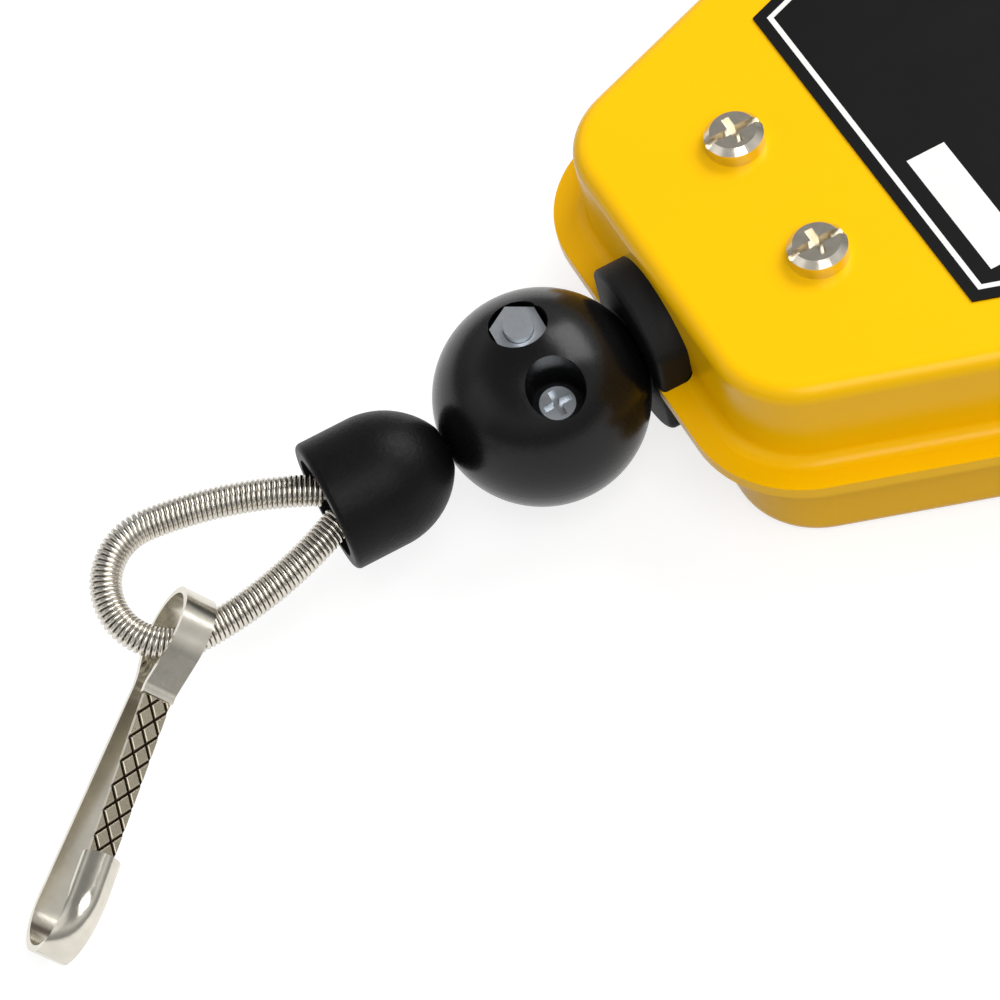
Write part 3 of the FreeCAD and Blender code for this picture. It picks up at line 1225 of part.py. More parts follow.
def hanger():
    level = num("top_level")
    bush = new_body("hanger_bush", ("0", "top_level", SEAM))
    bore = "shank_radius + running_gap"
    inner = "(0 - sheet_gauge - hanger_collar_gauge)"
    profile = [(bore, inner), ("hanger_collar", inner), ("hanger_collar", "0 - sheet_gauge"),
               ("hanger_bush", "0 - sheet_gauge"), ("hanger_bush", "flange_width"),
               (bore, "flange_width")]
    spin(bush, draw_outline(sketch_on(bush, "XY_Plane"), profile))

    base = "(flange_width + end_play)"
    top = f"({base} + hanger_shoulder_length)"
    foot = "(0 - sheet_gauge - hanger_collar_gauge - end_play - hanger_nut_length - 1)"
    hook = new_body("hanger_shank", ("0", "top_level", SEAM))
    profile = [("0", foot), ("shank_radius", foot), ("shank_radius", base),
               ("hanger_shoulder", base), ("hanger_shoulder", f"{top} - 0.6"),
               ("hanger_shoulder - 0.6", top), ("0", top)]
    spin(hook, draw_outline(sketch_on(hook, "XY_Plane"), profile))
    mid = "(0 - sheet_gauge - hanger_collar_gauge - end_play - hanger_nut_length / 2)"
    cut_holes(hook, "YZ_Plane", [(mid, "0", "hanger_pin")], LONG, Midplane=True)
    PARTS.remove(hook)

    rise, bowl = num("hanger_neck_bend"), num("hanger_bowl")
    start = Vector(0, num(f"{top} - 0.5"), 0)
    neck = start + Vector(0, num("hanger_neck"), 0)
    high = neck.y + math.sqrt((rise + bowl) ** 2 - rise ** 2)
    middle, first = Vector(0, high, 0), Vector(-rise, neck.y, 0)
    join = first + (middle - first) * (rise / (rise + bowl))
    aim = ((neck + join) * 0.5 - first).normalize()
    begin = math.atan2(join.y - middle.y, join.x - middle.x)
    sweep = math.radians(num("hanger_sweep"))

    def around(share):
        angle = begin - sweep * share
        return middle + Vector(math.cos(angle), math.sin(angle), 0) * bowl

    path = [(start, neck), (neck, first + aim * rise, join), (join, around(0.5), around(1))]
    bar = num("hanger_bar")
    tip = around(1)
    lug_at = Vector(num("latch_pin_x"), neck.y + num("latch_pin_rise"), 0)
    lug_round, lug_gauge = num("latch_lug"), num("latch_lug_gauge")
    wide, gap = num("latch_half_width"), num("latch_slot_half")
    upward = Vector(0, 0, 1)
    lug = Part.makeCylinder(lug_round, lug_gauge, lug_at - upward * (lug_gauge / 2), upward)
    web = Part.makeBox(lug_at.x, 2 * lug_round, lug_gauge,
                       Vector(0, lug_at.y - lug_round, -lug_gauge / 2))
    pin_hole = Part.makeCylinder(num("latch_pin"), 2 * wide, lug_at - upward * wide, upward)
    shank = hook.Shape.copy()
    shank.Placement = FreeCAD.Placement()
    solid = shank.fuse([tube(path, bar), Part.makeSphere(bar, tip), lug, web])
    solid = solid.removeSplitter().cut(pin_hole)
    at = FreeCAD.Placement(Vector(0, level, num(SEAM)), FreeCAD.Rotation())
    piece = group("hanger_hook", [solid.Solids[0]])
    piece.Placement = at

    inward = (middle - tip).normalize()
    run = tip + inward * (bar + num("soft_gap + latch_gauge")) - lug_at
    reach = run.Length + 1.0
    heading = math.degrees(math.atan2(run.y, run.x))
    gauge = num("latch_gauge")
    eye = Part.makeCylinder(lug_round, 2 * wide, Vector(0, 0, -wide), Vector(0, 0, 1))
    tongue = Part.makeBox(reach, 2 * gauge, 2 * wide, Vector(0, -gauge, -wide))
    slot = Part.makeCylinder(lug_round + num("latch_slot_reach"), 2 * gap, Vector(0, 0, -gap),
                             Vector(0, 0, 1))
    hole = Part.makeCylinder(num("latch_pin + running_gap"), 4 * wide, upward * (-2 * wide), upward)
    latch = eye.fuse(tongue).removeSplitter().cut(slot).cut(hole)
    latch_piece = group("hanger_latch", [latch.Solids[0]])
    latch_piece.Placement = at.multiply(FreeCAD.Placement(lug_at,
                                        FreeCAD.Rotation(Vector(0, 0, 1), heading)))
    pin = Part.makeCylinder(num("latch_pin"), 2 * wide + 0.8, Vector(0, 0, -wide - 0.4),
                            Vector(0, 0, 1))
    pin_piece = group("latch_pin", [pin])
    pin_piece.Placement = at.multiply(FreeCAD.Placement(lug_at, FreeCAD.Rotation()))

    washer_top = "(0 - sheet_gauge - hanger_collar_gauge - end_play)"
    nut = new_body("hanger_nut", ("0", "top_level", SEAM))
    low = f"({washer_top} - hanger_nut_length)"
    profile = [("shank_radius", low), ("hanger_nut", low), ("hanger_nut", washer_top),
               ("shank_radius", washer_top)]
    spin(nut, draw_outline(sketch_on(nut, "XY_Plane"), profile))
    cut_holes(nut, "YZ_Plane", [(mid, "0", "hanger_pin")], LONG, Midplane=True)
    cross = new_body("hanger_pin", ("0", "top_level", SEAM))
    sketch = draw_circle(sketch_on(cross, "YZ_Plane"), mid, "0", "hanger_pin")
    pad(cross, sketch, "2 * hanger_nut", Midplane=True)


BUILDERS = [front_cover, back_cover, rope_guide, cover_screws, cover_sleeves, front_plate,
            case_bushes, arbor, worm_wheel, worm, worm_supports, rope_drum, mainspring,
            rope_on_drum, rope_lead, ball, bell, loop, snap_hook, hanger]
for builder in BUILDERS:
    builder()
doc.recompute()

for thing in doc.Objects:
    if {"Invalid", "Error"} & set(thing.State):
        raise RuntimeError(f"{thing.Label}: {thing.State}")
for piece in PARTS:
    if piece.Shape.isNull() or not piece.Shape.isValid() or not piece.Shape.Solids:
        raise RuntimeError(f"{piece.Label}: no sound solid")
for piece in PARTS:
    piece.Shape.exportStep(os.path.join("parts", piece.Label + ".step"))
print(len(PARTS), "pieces")
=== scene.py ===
import math

import bmesh
import bpy
from mathutils import Matrix, Vector


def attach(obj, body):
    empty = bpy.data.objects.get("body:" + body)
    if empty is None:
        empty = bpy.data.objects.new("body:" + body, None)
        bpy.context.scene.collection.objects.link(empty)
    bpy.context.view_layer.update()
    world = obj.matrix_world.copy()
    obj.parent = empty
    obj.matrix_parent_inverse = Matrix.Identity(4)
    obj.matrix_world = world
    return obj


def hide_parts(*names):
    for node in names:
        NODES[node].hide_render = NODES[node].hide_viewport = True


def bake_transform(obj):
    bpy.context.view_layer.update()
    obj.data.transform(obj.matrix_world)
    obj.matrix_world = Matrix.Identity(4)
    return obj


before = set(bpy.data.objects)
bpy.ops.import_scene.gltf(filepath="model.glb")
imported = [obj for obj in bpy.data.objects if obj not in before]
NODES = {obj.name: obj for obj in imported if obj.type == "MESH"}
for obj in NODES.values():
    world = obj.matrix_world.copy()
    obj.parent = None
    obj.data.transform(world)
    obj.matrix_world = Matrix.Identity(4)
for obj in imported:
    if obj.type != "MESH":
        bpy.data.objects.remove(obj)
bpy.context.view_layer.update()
MM = 0.001

# Sizes of the object that the dressing follows, in millimetres and degrees

SEAM_Z = 16.0
RIM_Y = -107.25
ROPE_RADIUS = 1.25

LOOP_ROLL = 22.0
LOOP_LIFT = 1.5
LOOP_TILT = 1.2
LOOP_SPREAD = 2.7
LOOP_REACH = 30.8
LOOP_BEND = 8.3
LOOP_LEG_BEND = 60.0

SPRING_OUTER = 2.2
SPRING_WIRE = 0.33
SPRING_PITCH = 0.68
SPRING_INSET = 0.8

HOOK_SEAT = 14.0
HOOK_HEADING = 45.59
HOOK_DIP = 5.98
HOOK_ROLL = 48.51
EYE_SHIFT = (-0.50, -0.13, 0.97)
STRIP_GAUGE = 0.9
GATE_ROOT = (0.45, -8.0)
GATE_TIP = (0.65, -34.5)
GATE_START = 1.36
GATE_HALF = 1.9
GATE_TIP_HALF = 1.7

CASE_END_HALF = 27.1
CASE_END_LEVEL = 57.0
CASE_WIDE_LEVEL = 2.0
CASE_FLARE = 21.0
CASE_TAPER = 30.0
PLATE_MARGIN = 9.6
PLATE_FROM_END = 31.8
PLATE_HIGH = 28.0
PLATE_TOP_Z = 31.3

# The forms that are made here, in millimetres

PATH_STEP = 0.25
COIL_STEPS = 14
COIL_SIDES = 6

KNURL_ACROSS = 1.2
KNURL_ALONG = 1.73
KNURL_FIRST = 2.85
KNURL_DEPTH = 0.34
KNURL_SPARE_ROWS = 2
KNURL_COLUMNS = 3
# Each ring of a diamond: its share of the pitch, its depth in the strip, and its share of
# painted groove shade
KNURL_RINGS = ((1.0, KNURL_DEPTH, 1.0), (0.80, 0.07, 0.25), (0.68, 0.0, 0.0))
WELD = 0.001
CUT_SLACK = 0.0001

DRAWN_ROPE_LEVELS = (-57.5, -58.5, -60.0, -60.6, -61.5, -62.5)
DRAWN_ROPE_SLACK = 0.05
DRAWN_ROPE_SIDES = 16

PRINT_THICK = 0.02
FRAME_LINE_OUTER = 1.6
FRAME_LINE_INNER = 2.35
NUMBER_BOX = (4.5, 26.0, -20.6, -15.0)

# The stage: shares of white, and metres

FLOOR_GREY = 0.36
FLOOR_GLOW = 0.75
FLOOR_ROUGH = 0.9
FLOOR_HALF = 3
SKY_LEVELS = ((0.0, 0.16), (0.3, 0.45), (0.46, 0.78), (0.7, 0.30), (1.0, 0.26))
LAMP_TARGET = (0, -0.06, 0.01)
# Each lamp: its name, place, width and height in metres, and power in watts
LAMPS = (
    ("key_light", (-0.14, 0.60, 0.70), 0.7, 0.5, 6.0),
    ("fill_light", (0.50, -0.08, 0.80), 0.6, 0.6, 4.0),
    ("end_light", (-0.1, -0.80, 0.32), 0.5, 0.5, 0.25),
)

CAMERA_PLACE = (313.1, -154.85, 432.9)
CAMERA_RIGHT = Vector((0.4400, 0.8808, -0.1751))
CAMERA_DOWN = Vector((0.6849, -0.4552, -0.5689))
CAMERA_AHEAD = Vector((-0.5808, 0.1304, -0.8035))
CAMERA_LENS = 144.0
CAMERA_SENSOR = 36.0
CAMERA_NEAREST = 0.01


def turned(*turns):
    """The rotation that makes each (axis, degrees) turn in the order given."""
    whole = Matrix.Identity(3)
    for axis, degrees in turns:
        whole = Matrix.Rotation(math.radians(degrees), 3, axis) @ whole
    return whole


LOOP_ORIGIN = Vector((0, RIM_Y, SEAM_Z))
LOOP_PLACE = turned(("Y", LOOP_ROLL), ("X", -LOOP_LIFT), ("Z", -LOOP_TILT))
HOOK_PLACE = turned(("Y", -HOOK_ROLL), ("X", HOOK_DIP), ("Z", HOOK_HEADING))


# Materials

def new_material(name):
    material = bpy.data.materials.new(name)
    material.use_nodes = True
    nodes = material.node_tree.nodes
    shader = nodes["Principled BSDF"]
    return material, nodes, material.node_tree.links, shader


def object_place(nodes):
    return nodes.new("ShaderNodeTexCoord").outputs["Object"]


def noise(nodes, links, place, size_mm, detail=3.0, rough=0.5):
    """Noise whose patches are about size_mm wide."""
    texture = nodes.new("ShaderNodeTexNoise")
    texture.inputs["Scale"].default_value = 1 / (size_mm * MM)
    texture.inputs["Detail"].default_value = detail
    texture.inputs["Roughness"].default_value = rough
    links.new(place, texture.inputs["Vector"])
    return texture.outputs["Fac"]


def ramp(nodes, links, value, stops):
    """A colour ramp with (position, linear colour) stops."""
    node = nodes.new("ShaderNodeValToRGB")
    elements = node.color_ramp.elements
    while len(elements) < len(stops):
        elements.new(0.5)
    for element, (position, colour) in zip(elements, stops):
        element.position = position
        element.color = (*colour, 1.0)
    links.new(value, node.inputs["Fac"])
    return node.outputs["Color"]


def spread(nodes, links, value, low, high):
    """A value from 0 to 1 spread from low to high."""
    node = nodes.new("ShaderNodeMapRange")
    node.inputs["To Min"].default_value = low
    node.inputs["To Max"].default_value = high
    links.new(value, node.inputs["Value"])
    return node.outputs["Result"]


def bump(nodes, links, shader, height, depth_mm):
    node = nodes.new("ShaderNodeBump")
    node.inputs["Strength"].default_value = 1.0
    node.inputs["Distance"].default_value = depth_mm * MM
    links.new(height, node.inputs["Height"])
    links.new(node.outputs["Normal"], shader.inputs["Normal"])


def linear(colour):
    """A colour as seen on a screen, turned into the linear one that shaders take."""
    return tuple(part / 12.92 if part <= 0.04045 else ((part + 0.055) / 1.055) ** 2.4
                 for part in colour)


def cloudy(nodes, links, value, colour, vary):
    """The colour, made darker and lighter by the share vary as the value goes."""
    base = linear(colour)
    dark = tuple(part * (1 - vary) for part in base)
    light = tuple(min(1.0, part * (1 + vary)) for part in base)
    return ramp(nodes, links, value, [(0.3, dark), (0.7, light)])


def finish_material(name, colour, rough, metal=0.0, vary=0.04, grain_mm=0.8, grain_depth=0.01,
                    cloud_mm=14.0, gloss=0.5, rough_vary=0.08):
    """A plain finish with a cloudy tint, an uneven gloss and a fine grain at real scale."""
    material, nodes, links, shader = new_material(name)
    place = object_place(nodes)
    cloud = noise(nodes, links, place, cloud_mm)
    links.new(cloudy(nodes, links, cloud, colour, vary), shader.inputs["Base Color"])
    fine = noise(nodes, links, place, grain_mm, 4.0, 0.6)
    low, high = max(0.02, rough - rough_vary), min(1.0, rough + rough_vary)
    links.new(spread(nodes, links, fine, low, high), shader.inputs["Roughness"])
    bump(nodes, links, shader, fine, grain_depth)
    shader.inputs["Metallic"].default_value = metal
    shader.inputs["Specular IOR Level"].default_value = gloss
    return material


def brushed(name, colour, rough, line_mm, depth, along=(1.0, 1.0, 1.0), vary=0.08,
            stain_mm=3.5):
    """Drawn or rolled metal: a fine grain, pressed by the scale along, and soft stains."""
    material, nodes, links, shader = new_material(name)
    place = object_place(nodes)
    scaled = nodes.new("ShaderNodeMapping")
    scaled.inputs["Scale"].default_value = along
    links.new(place, scaled.inputs["Vector"])
    lines = noise(nodes, links, scaled.outputs["Vector"], line_mm, 5.0, 0.65)
    stains = noise(nodes, links, place, stain_mm, 4.0, 0.6)
    links.new(cloudy(nodes, links, stains, colour, vary), shader.inputs["Base Color"])
    links.new(spread(nodes, links, lines, rough * 0.7, rough * 1.4), shader.inputs["Roughness"])
    bump(nodes, links, shader, lines, depth)
    shader.inputs["Metallic"].default_value = 1.0
    return material


def stranded(name, colour, lay_mm, strands, band_share=0.35, strand_shade=0.25,
             groove_depth=0.15):
    """Wire rope: strands that wind round the piece."""
    material, nodes, links, shader = new_material(name)
    wave = nodes.new("ShaderNodeTexWave")
    wave.wave_type = "BANDS"
    wave.bands_direction = "DIAGONAL"
    wave.inputs["Scale"].default_value = strands / (lay_mm * MM) * band_share
    wave.inputs["Distortion"].default_value = 0.6
    wave.inputs["Detail"].default_value = 1.0
    links.new(object_place(nodes), wave.inputs["Vector"])
    height = wave.outputs["Fac"]
    base = linear(colour)
    # Painted shade: the grooves between the strands are darkened in the base colour
    groove = tuple(part * strand_shade for part in base)
    tint = ramp(nodes, links, height, [(0.1, groove), (0.6, base)])
    links.new(tint, shader.inputs["Base Color"])
    links.new(spread(nodes, links, height, 0.55, 0.3), shader.inputs["Roughness"])
    bump(nodes, links, shader, height, groove_depth)
    shader.inputs["Metallic"].default_value = 1.0
    return material


def knurled(name, colour, rough, groove_shade=(0.16, 0.13, 0.10)):
    """Rolled strip whose grooves are darkened with painted shade."""
    material = brushed(name, colour, rough, line_mm=0.3, depth=0.004)
    nodes, links = material.node_tree.nodes, material.node_tree.links
    shader = nodes["Principled BSDF"]
    clean = shader.inputs["Base Color"].links[0].from_socket
    # Painted shade: the groove attribute mixes a dark colour into the bottoms of the grooves
    groove = nodes.new("ShaderNodeAttribute")
    groove.attribute_name = "groove"
    blend = nodes.new("ShaderNodeMix")
    blend.data_type = "RGBA"
    # A Mix node's colour sockets share their names with others: 6 is A, 7 is B, 2 the result
    links.new(groove.outputs["Fac"], blend.inputs[0])
    links.new(clean, blend.inputs[6])
    blend.inputs[7].default_value = (*linear(groove_shade), 1)
    links.new(blend.outputs[2], shader.inputs["Base Color"])
    return material


yellow = finish_material("yellow_paint", (1.0, 0.765, 0.0), 0.24, vary=0.012, grain_mm=1.1,
                         grain_depth=0.006, cloud_mm=30.0, gloss=0.2, rough_vary=0.05)
label = finish_material("label_black", (0.06, 0.06, 0.062), 0.42, vary=0.12, grain_mm=0.25,
                        grain_depth=0.004, cloud_mm=8.0, gloss=0.15)
ink = finish_material("label_white", (0.93, 0.93, 0.92), 0.45, vary=0.02, grain_mm=0.3,
                      grain_depth=0.003, cloud_mm=6.0)
rubber = finish_material("black_rubber", (0.07, 0.07, 0.073), 0.52, vary=0.18, grain_mm=0.35,
                         grain_depth=0.02, cloud_mm=5.0, gloss=0.15, rough_vary=0.1)
ball_black = finish_material("ball_plastic", (0.05, 0.05, 0.053), 0.25, vary=0.15,
                             grain_mm=0.5, grain_depth=0.012, cloud_mm=7.0, gloss=0.28,
                             rough_vary=0.08)
bell_black = finish_material("bell_plastic", (0.05, 0.05, 0.053), 0.42, vary=0.2,
                             grain_mm=0.6, grain_depth=0.06, cloud_mm=4.0, gloss=0.13,
                             rough_vary=0.12)
nickel = finish_material("nickel_screw", (0.88, 0.85, 0.79), 0.20, metal=1.0, vary=0.06,
                         grain_mm=0.6, grain_depth=0.007, cloud_mm=1.5, rough_vary=0.07)
hook_steel = brushed("nickel_strip", (0.84, 0.82, 0.77), 0.20, line_mm=0.35, depth=0.003)
gate_steel = knurled("knurled_strip", (0.64, 0.61, 0.54), 0.24)
spring_steel = brushed("spring_wire", (0.84, 0.82, 0.78), 0.22, line_mm=0.2, depth=0.003)
zinc = finish_material("zinc_plate", (0.74, 0.76, 0.78), 0.32, metal=1.0, vary=0.06,
                       grain_mm=0.3, grain_depth=0.006, cloud_mm=2.0)
turned_steel = brushed("turned_steel", (0.62, 0.62, 0.63), 0.28, line_mm=0.6, depth=0.004,
                       along=(1.0, 1.0, 12.0))
bronze = finish_material("sintered_bronze", (0.72, 0.52, 0.30), 0.45, metal=1.0, vary=0.15,
                         grain_mm=0.15, grain_depth=0.01, cloud_mm=1.5)
brass = finish_material("cut_brass", (0.86, 0.70, 0.38), 0.28, metal=1.0, vary=0.05,
                        grain_mm=0.3, grain_depth=0.004, cloud_mm=3.0)
alloy = finish_material("cast_alloy", (0.70, 0.71, 0.72), 0.50, metal=1.0, vary=0.08,
                        grain_mm=0.4, grain_depth=0.02, cloud_mm=5.0)
copper = finish_material("copper_sleeve", (0.78, 0.48, 0.34), 0.35, metal=1.0, vary=0.1,
                         grain_mm=0.3, grain_depth=0.01, cloud_mm=2.0)
blued = finish_material("tempered_strip", (0.22, 0.24, 0.30), 0.30, metal=1.0, vary=0.2,
                        grain_mm=0.4, grain_depth=0.004, cloud_mm=9.0)
rope = stranded("wire_rope", (0.70, 0.70, 0.69), lay_mm=9.0, strands=6.0)

FINISHES = {
    "front_cover": yellow, "back_cover": yellow, "front_plate": label, "rope_guide": rubber,
    "cover_screws": nickel, "cover_sleeves": zinc, "back_bush": bronze, "front_bush": bronze,
    "worm_supports": zinc, "support_rivets": zinc, "hanger_bush": bronze, "rope_lead": rope,
    "arbor": turned_steel, "wheel_key": turned_steel, "worm_wheel": brass, "worm": turned_steel,
    "rope_drum": alloy, "drum_cover": alloy, "drum_screws": zinc, "drum_bushes": bronze,
    "rope_on_drum": rope, "rope_anchor": copper, "mainspring": blued, "rope_end": rope,
    "ball_half_front": ball_black, "ball_half_back": ball_black, "ball_screws": zinc,
    "ball_nuts": zinc, "bell_cap": bell_black, "crimp_sleeve": copper, "loop_rope": rope,
    "loop_spring": spring_steel, "snap_hook": hook_steel, "snap_gate": hook_steel,
    "hanger_hook": zinc, "hanger_nut": zinc, "hanger_pin": zinc, "latch_pin": zinc,
    "hanger_latch": hook_steel,
}
for name, material in FINISHES.items():
    NODES[name].data.materials.clear()
    NODES[name].data.materials.append(material)


# Pieces

def link_mesh(name, mesh, material, smooth):
    piece = bpy.data.objects.new(name, mesh)
    bpy.context.scene.collection.objects.link(piece)
    mesh.materials.append(material)
    if smooth:
        for face in mesh.polygons:
            face.use_smooth = True
    return piece


def link_form(name, form, material, smooth):
    """The finished bmesh as a piece of the scene."""
    mesh = bpy.data.meshes.new(name)
    form.to_mesh(mesh)
    form.free()
    return link_mesh(name, mesh, material, smooth)


def swept(name, points, radius, sides, material):
    """A round wire through the points, with flat ends."""
    form = bmesh.new()
    rings = []
    across = None
    last = len(points) - 1
    for index, point in enumerate(points):
        before = points[max(index - 1, 0)]
        after = points[min(index + 1, last)]
        ahead = (after - before).normalized()
        if across is None:
            across = ahead.orthogonal().normalized()
        across = (across - ahead * across.dot(ahead)).normalized()
        other = ahead.cross(across)
        ring = []
        for side in range(sides):
            turn = 2 * math.pi * side / sides
            spoke = across * math.cos(turn) + other * math.sin(turn)
            ring.append(form.verts.new((point + spoke * radius) * MM))
        rings.append(ring)
    for first, second in zip(rings, rings[1:]):
        for side in range(sides):
            after = (side + 1) % sides
            form.faces.new((first[side], first[after], second[after], second[side]))
    form.faces.new(list(reversed(rings[0])))
    form.faces.new(rings[-1])
    return link_form(name, form, material, smooth=True)


def loop_centre_line(inset):
    """The loop's centre line, from the bell's mouth round to it again, in the object's frame.

    Each leg leaves the mouth as an arc of LOOP_LEG_BEND and meets the end's arc of LOOP_BEND
    without a kink; turn is the angle on the end's arc where they meet.
    """
    level = LOOP_REACH - LOOP_BEND
    far = LOOP_LEG_BEND - LOOP_BEND
    along, across = 2 * level * far, 2 * LOOP_SPREAD * far
    rest = LOOP_LEG_BEND ** 2 - LOOP_SPREAD ** 2 - far ** 2 - level ** 2
    turn = math.asin(rest / math.hypot(along, across)) - math.atan2(across, along)
    centre = Vector((-far * math.cos(turn), -level - far * math.sin(turn)))
    first = math.atan2(-centre.y, LOOP_SPREAD - centre.x)
    last = math.atan2(-level + LOOP_BEND * math.sin(turn) - centre.y,
                      LOOP_BEND * math.cos(turn) - centre.x)
    heading = Vector((-math.sin(first), math.cos(first)))
    leg = [Vector((LOOP_SPREAD, 0)) + heading * (inset / heading.y) * share
           for share in (1.0, 0.5)]
    count = round(LOOP_LEG_BEND * abs(last - first) / PATH_STEP)
    leg += [centre + Vector((math.cos(angle), math.sin(angle))) * LOOP_LEG_BEND
            for angle in (first + (last - first) * index / count for index in range(count + 1))]
    low = -math.pi - turn
    count = round(LOOP_BEND * (turn - low) / PATH_STEP)
    bottom = [Vector((math.cos(angle), math.sin(angle))) * LOOP_BEND + Vector((0, -level))
              for angle in (turn + (low - turn) * index / count for index in range(1, count))]
    flat = leg + bottom + [Vector((-point.x, point.y)) for point in reversed(leg)]
    return [LOOP_PLACE @ Vector((point.x, point.y, 0)) + LOOP_ORIGIN for point in flat]


def coil_round(path, radius, pitch, steps):
    """A coil's points round the loop's centre line, stepped evenly along it."""
    lengths = [0.0]
    for before, after in zip(path, path[1:]):
        lengths.append(lengths[-1] + (after - before).length)
    total = lengths[-1]
    plane = LOOP_PLACE @ Vector((0, 0, 1))
    points = []
    count = int(total / pitch * steps)
    index = 0
    for number in range(count + 1):
        place = total * number / count
        while index < len(lengths) - 2 and lengths[index + 1] < place:
            index += 1
        share = (place - lengths[index]) / (lengths[index + 1] - lengths[index])
        middle = path[index].lerp(path[index + 1], share)
        ahead = (path[index + 1] - path[index]).normalized()
        side = ahead.cross(plane).normalized()
        turn = 2 * math.pi * number / steps
        points.append(middle + (side * math.cos(turn) + plane * math.sin(turn)) * radius)
    return points


spring_points = coil_round(loop_centre_line(SPRING_INSET), SPRING_OUTER - SPRING_WIRE,
                           SPRING_PITCH, COIL_STEPS)
spring = swept("loop_spring_coil", spring_points, SPRING_WIRE, COIL_SIDES, spring_steel)
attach(spring, "rope_pull_end")
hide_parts("loop_spring")


def gate_knurl():
    """The gate with crossing grooves on its outer face, which leave rows of raised diamonds.

    It is made in the hook's own frame: a field of diamonds is cut to the gate's outline, walls
    are drawn from its rim to the inner face, and the whole is set on the loop.
    """
    root, tip = Vector((*GATE_ROOT, 0)), Vector((*GATE_TIP, 0))
    ahead = (tip - root).normalized()
    out = Vector((-ahead.y, ahead.x, 0))
    up = Vector((0, 0, 1))
    start = root + ahead * GATE_START
    length = (tip - start).length
    half = STRIP_GAUGE / 2
    form = bmesh.new()
    groove = form.verts.layers.float.new("groove")
    last_row = int(length / KNURL_ALONG) + KNURL_SPARE_ROWS
    for row in range(-KNURL_SPARE_ROWS, last_row + 1):
        for column in range(-KNURL_COLUMNS, KNURL_COLUMNS + 1):
            if (row + column) % 2:
                continue
            along = KNURL_FIRST + row * KNURL_ALONG
            across = (column + 0.5) * KNURL_ACROSS
            rings = []
            for share, deep, groove_shade in KNURL_RINGS:
                ring = []
                for corner_u, corner_v in ((1, 0), (0, 1), (-1, 0), (0, -1)):
                    spot = (start + ahead * (along + corner_v * KNURL_ALONG * share)
                            + up * (across + corner_u * KNURL_ACROSS * share)
                            + out * (half - deep))
                    vert = form.verts.new(spot)
                    # Painted shade: full at the bottom of each groove, less up its sides, none
                    # on the diamond tops
                    vert[groove] = groove_shade
                    ring.append(vert)
                rings.append(ring)
            for low, high in zip(rings, rings[1:]):
                for side in range(4):
                    after = (side + 1) % 4
                    form.faces.new((low[side], low[after], high[after], high[side]))
            form.faces.new(rings[-1])
    bmesh.ops.remove_doubles(form, verts=form.verts, dist=WELD)
    slope = (GATE_HALF - GATE_TIP_HALF) / length
    cuts = [(start, -ahead), (tip, ahead)]
    cuts += [(start + up * (side * GATE_HALF), (up * side + ahead * slope).normalized())
             for side in (1, -1)]
    for spot, normal in cuts:
        everything = form.verts[:] + form.edges[:] + form.faces[:]
        bmesh.ops.bisect_plane(form, geom=everything, dist=CUT_SLACK, plane_co=spot,
                               plane_no=normal, clear_outer=True)
    rim = [edge for edge in form.edges if edge.is_boundary]
    walls = bmesh.ops.extrude_edge_only(form, edges=rim)["geom"]
    for vert in (item for item in walls if isinstance(item, bmesh.types.BMVert)):
        vert.co -= out * ((vert.co - start).dot(out) + half)
        vert[groove] = 0.0
    bmesh.ops.holes_fill(form, edges=[edge for edge in form.edges if edge.is_boundary])
    bmesh.ops.recalc_face_normals(form, faces=form.faces)
    angle = math.radians(HOOK_SEAT)
    flat = Vector((math.cos(angle), -math.sin(angle), 0)) * LOOP_BEND
    flat.y -= LOOP_REACH - LOOP_BEND
    seat = LOOP_PLACE @ flat + LOOP_ORIGIN + Vector(EYE_SHIFT)
    for vert in form.verts:
        vert.co = (HOOK_PLACE @ vert.co + seat) * MM
    return link_form("gate_knurl", form, gate_steel, smooth=False)


knurl = gate_knurl()
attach(knurl, "gate")
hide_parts("snap_gate")

drawn_line = [Vector((0, y, SEAM_Z)) for y in DRAWN_ROPE_LEVELS]
rope_out = swept("rope_drawn_out", drawn_line, ROPE_RADIUS - DRAWN_ROPE_SLACK, DRAWN_ROPE_SIDES,
                 rope)
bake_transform(rope_out)


# Print on the plate: a thin frame line and an empty number box

def plate_outline(inset):
    """The plate's six corners, moved in by the inset, in the object's frame."""
    flare, taper = math.radians(CASE_FLARE), math.radians(CASE_TAPER)
    wide_half = CASE_END_HALF + (CASE_END_LEVEL + CASE_WIDE_LEVEL) * math.tan(flare)
    edge = PLATE_MARGIN + inset
    low, high = PLATE_FROM_END - CASE_END_LEVEL + inset, PLATE_HIGH - inset
    bend = math.sin(flare + taper)
    low_half = CASE_END_HALF + (CASE_END_LEVEL + low) * math.tan(flare) - edge / math.cos(flare)
    high_half = wide_half - (high - CASE_WIDE_LEVEL) * math.tan(taper) - edge / math.cos(taper)
    wide = (wide_half - edge * (math.sin(taper) + math.sin(flare)) / bend,
            CASE_WIDE_LEVEL - edge * (math.cos(flare) - math.cos(taper)) / bend)
    right = [(low_half, low), wide, (high_half, high)]
    return right + [(-x, y) for x, y in reversed(right)]


def print_band(name, outer, inner, z, thick, material):
    """A flat band between two outlines."""
    form = bmesh.new()
    loops = []
    for height in (z, z + thick):
        for ring in (outer, inner):
            loops.append([form.verts.new((x * MM, y * MM, height * MM)) for x, y in ring])
    low_out, low_in, high_out, high_in = loops
    count = len(outer)
    for index in range(count):
        after = (index + 1) % count
        form.faces.new((high_out[index], high_out[after], high_in[after], high_in[index]))
        form.faces.new((low_out[after], low_out[index], low_in[index], low_in[after]))
        form.faces.new((low_out[index], low_out[after], high_out[after], high_out[index]))
        form.faces.new((low_in[after], low_in[index], high_in[index], high_in[after]))
    return link_form(name, form, material, smooth=False)


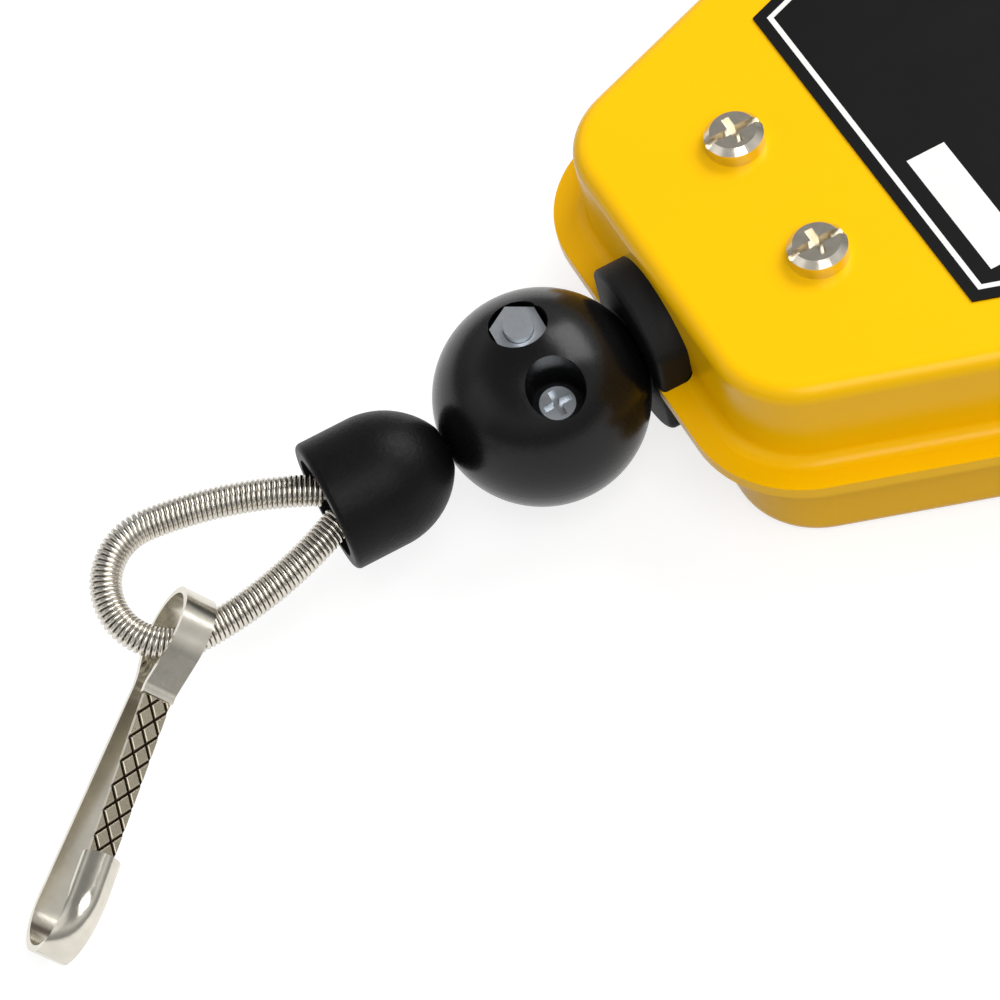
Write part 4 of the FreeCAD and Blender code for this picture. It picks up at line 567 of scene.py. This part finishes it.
def print_panel(name, left, right, low, high, z, thick, material):
    """A flat filled box."""
    form = bmesh.new()
    bmesh.ops.create_cube(form, size=1.0)
    for vert in form.verts:
        vert.co = Vector(((left + right) / 2 + vert.co.x * (right - left),
                          (low + high) / 2 + vert.co.y * (high - low),
                          z + thick / 2 + vert.co.z * thick)) * MM
    return link_form(name, form, material, smooth=False)


prints = [print_band("plate_frame_line", plate_outline(FRAME_LINE_OUTER),
                     plate_outline(FRAME_LINE_INNER), PLATE_TOP_Z, PRINT_THICK, ink),
          print_panel("plate_number_box", *NUMBER_BOX, PLATE_TOP_Z, PRINT_THICK, ink)]
for piece in prints:
    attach(piece, "housing")


# Stage: a grey floor that the camera, metal and glass see as white

def grey(level):
    return (level, level, level)


floor_white, nodes, links, shader = new_material("floor_white")
shader.inputs["Base Color"].default_value = (*grey(FLOOR_GREY), 1)
shader.inputs["Roughness"].default_value = FLOOR_ROUGH
paths = nodes.new("ShaderNodeLightPath")
seen = paths.outputs["Is Camera Ray"]
for kind in ("Is Glossy Ray", "Is Transmission Ray"):
    either = nodes.new("ShaderNodeMath")
    either.operation = "MAXIMUM"
    links.new(seen, either.inputs[0])
    links.new(paths.outputs[kind], either.inputs[1])
    seen = either.outputs[0]
glow = nodes.new("ShaderNodeMath")
glow.operation = "MULTIPLY"
glow.inputs[1].default_value = FLOOR_GLOW
links.new(seen, glow.inputs[0])
links.new(glow.outputs[0], shader.inputs["Emission Strength"])
shader.inputs["Emission Color"].default_value = (1, 1, 1, 1)

floor_mesh = bpy.data.meshes.new("floor")
floor_corners = [(x * FLOOR_HALF, y * FLOOR_HALF, 0)
                 for x, y in ((-1, -1), (1, -1), (1, 1), (-1, 1))]
floor_mesh.from_pydata(floor_corners, [], [(0, 1, 2, 3)])
floor = link_mesh("floor", floor_mesh, floor_white, smooth=False)


# Light

world = bpy.data.worlds.new("studio")
world.use_nodes = True
bpy.context.scene.world = world
backdrop = world.node_tree.nodes["Background"]
nodes, links = world.node_tree.nodes, world.node_tree.links
split = nodes.new("ShaderNodeSeparateXYZ")
links.new(nodes.new("ShaderNodeTexCoord").outputs["Generated"], split.inputs["Vector"])
sky = ramp(nodes, links, split.outputs["Z"],
           [(height, grey(level)) for height, level in SKY_LEVELS])
links.new(sky, backdrop.inputs["Color"])
backdrop.inputs["Strength"].default_value = 1.0

for name, place, width, height, power in LAMPS:
    lamp = bpy.data.lights.new(name, "AREA")
    lamp.energy = power
    lamp.shape = "RECTANGLE"
    lamp.size = width
    lamp.size_y = height
    holder = bpy.data.objects.new(name, lamp)
    bpy.context.scene.collection.objects.link(holder)
    holder.location = place
    aim = Vector(LAMP_TARGET) - Vector(place)
    holder.rotation_euler = aim.to_track_quat("-Z", "Y").to_euler()


# Camera, at the photograph's angle

view = bpy.data.cameras.new("camera")
view.lens = CAMERA_LENS
view.sensor_width = CAMERA_SENSOR
view.clip_start = CAMERA_NEAREST
camera = bpy.data.objects.new("camera", view)
bpy.context.scene.collection.objects.link(camera)
camera_turn = Matrix((CAMERA_RIGHT, -CAMERA_DOWN, -CAMERA_AHEAD)).transposed().to_4x4()
camera.matrix_world = Matrix.Translation(Vector(CAMERA_PLACE) * MM) @ camera_turn
bpy.context.scene.camera = camera
bpy.context.scene.view_settings.view_transform = "Standard"
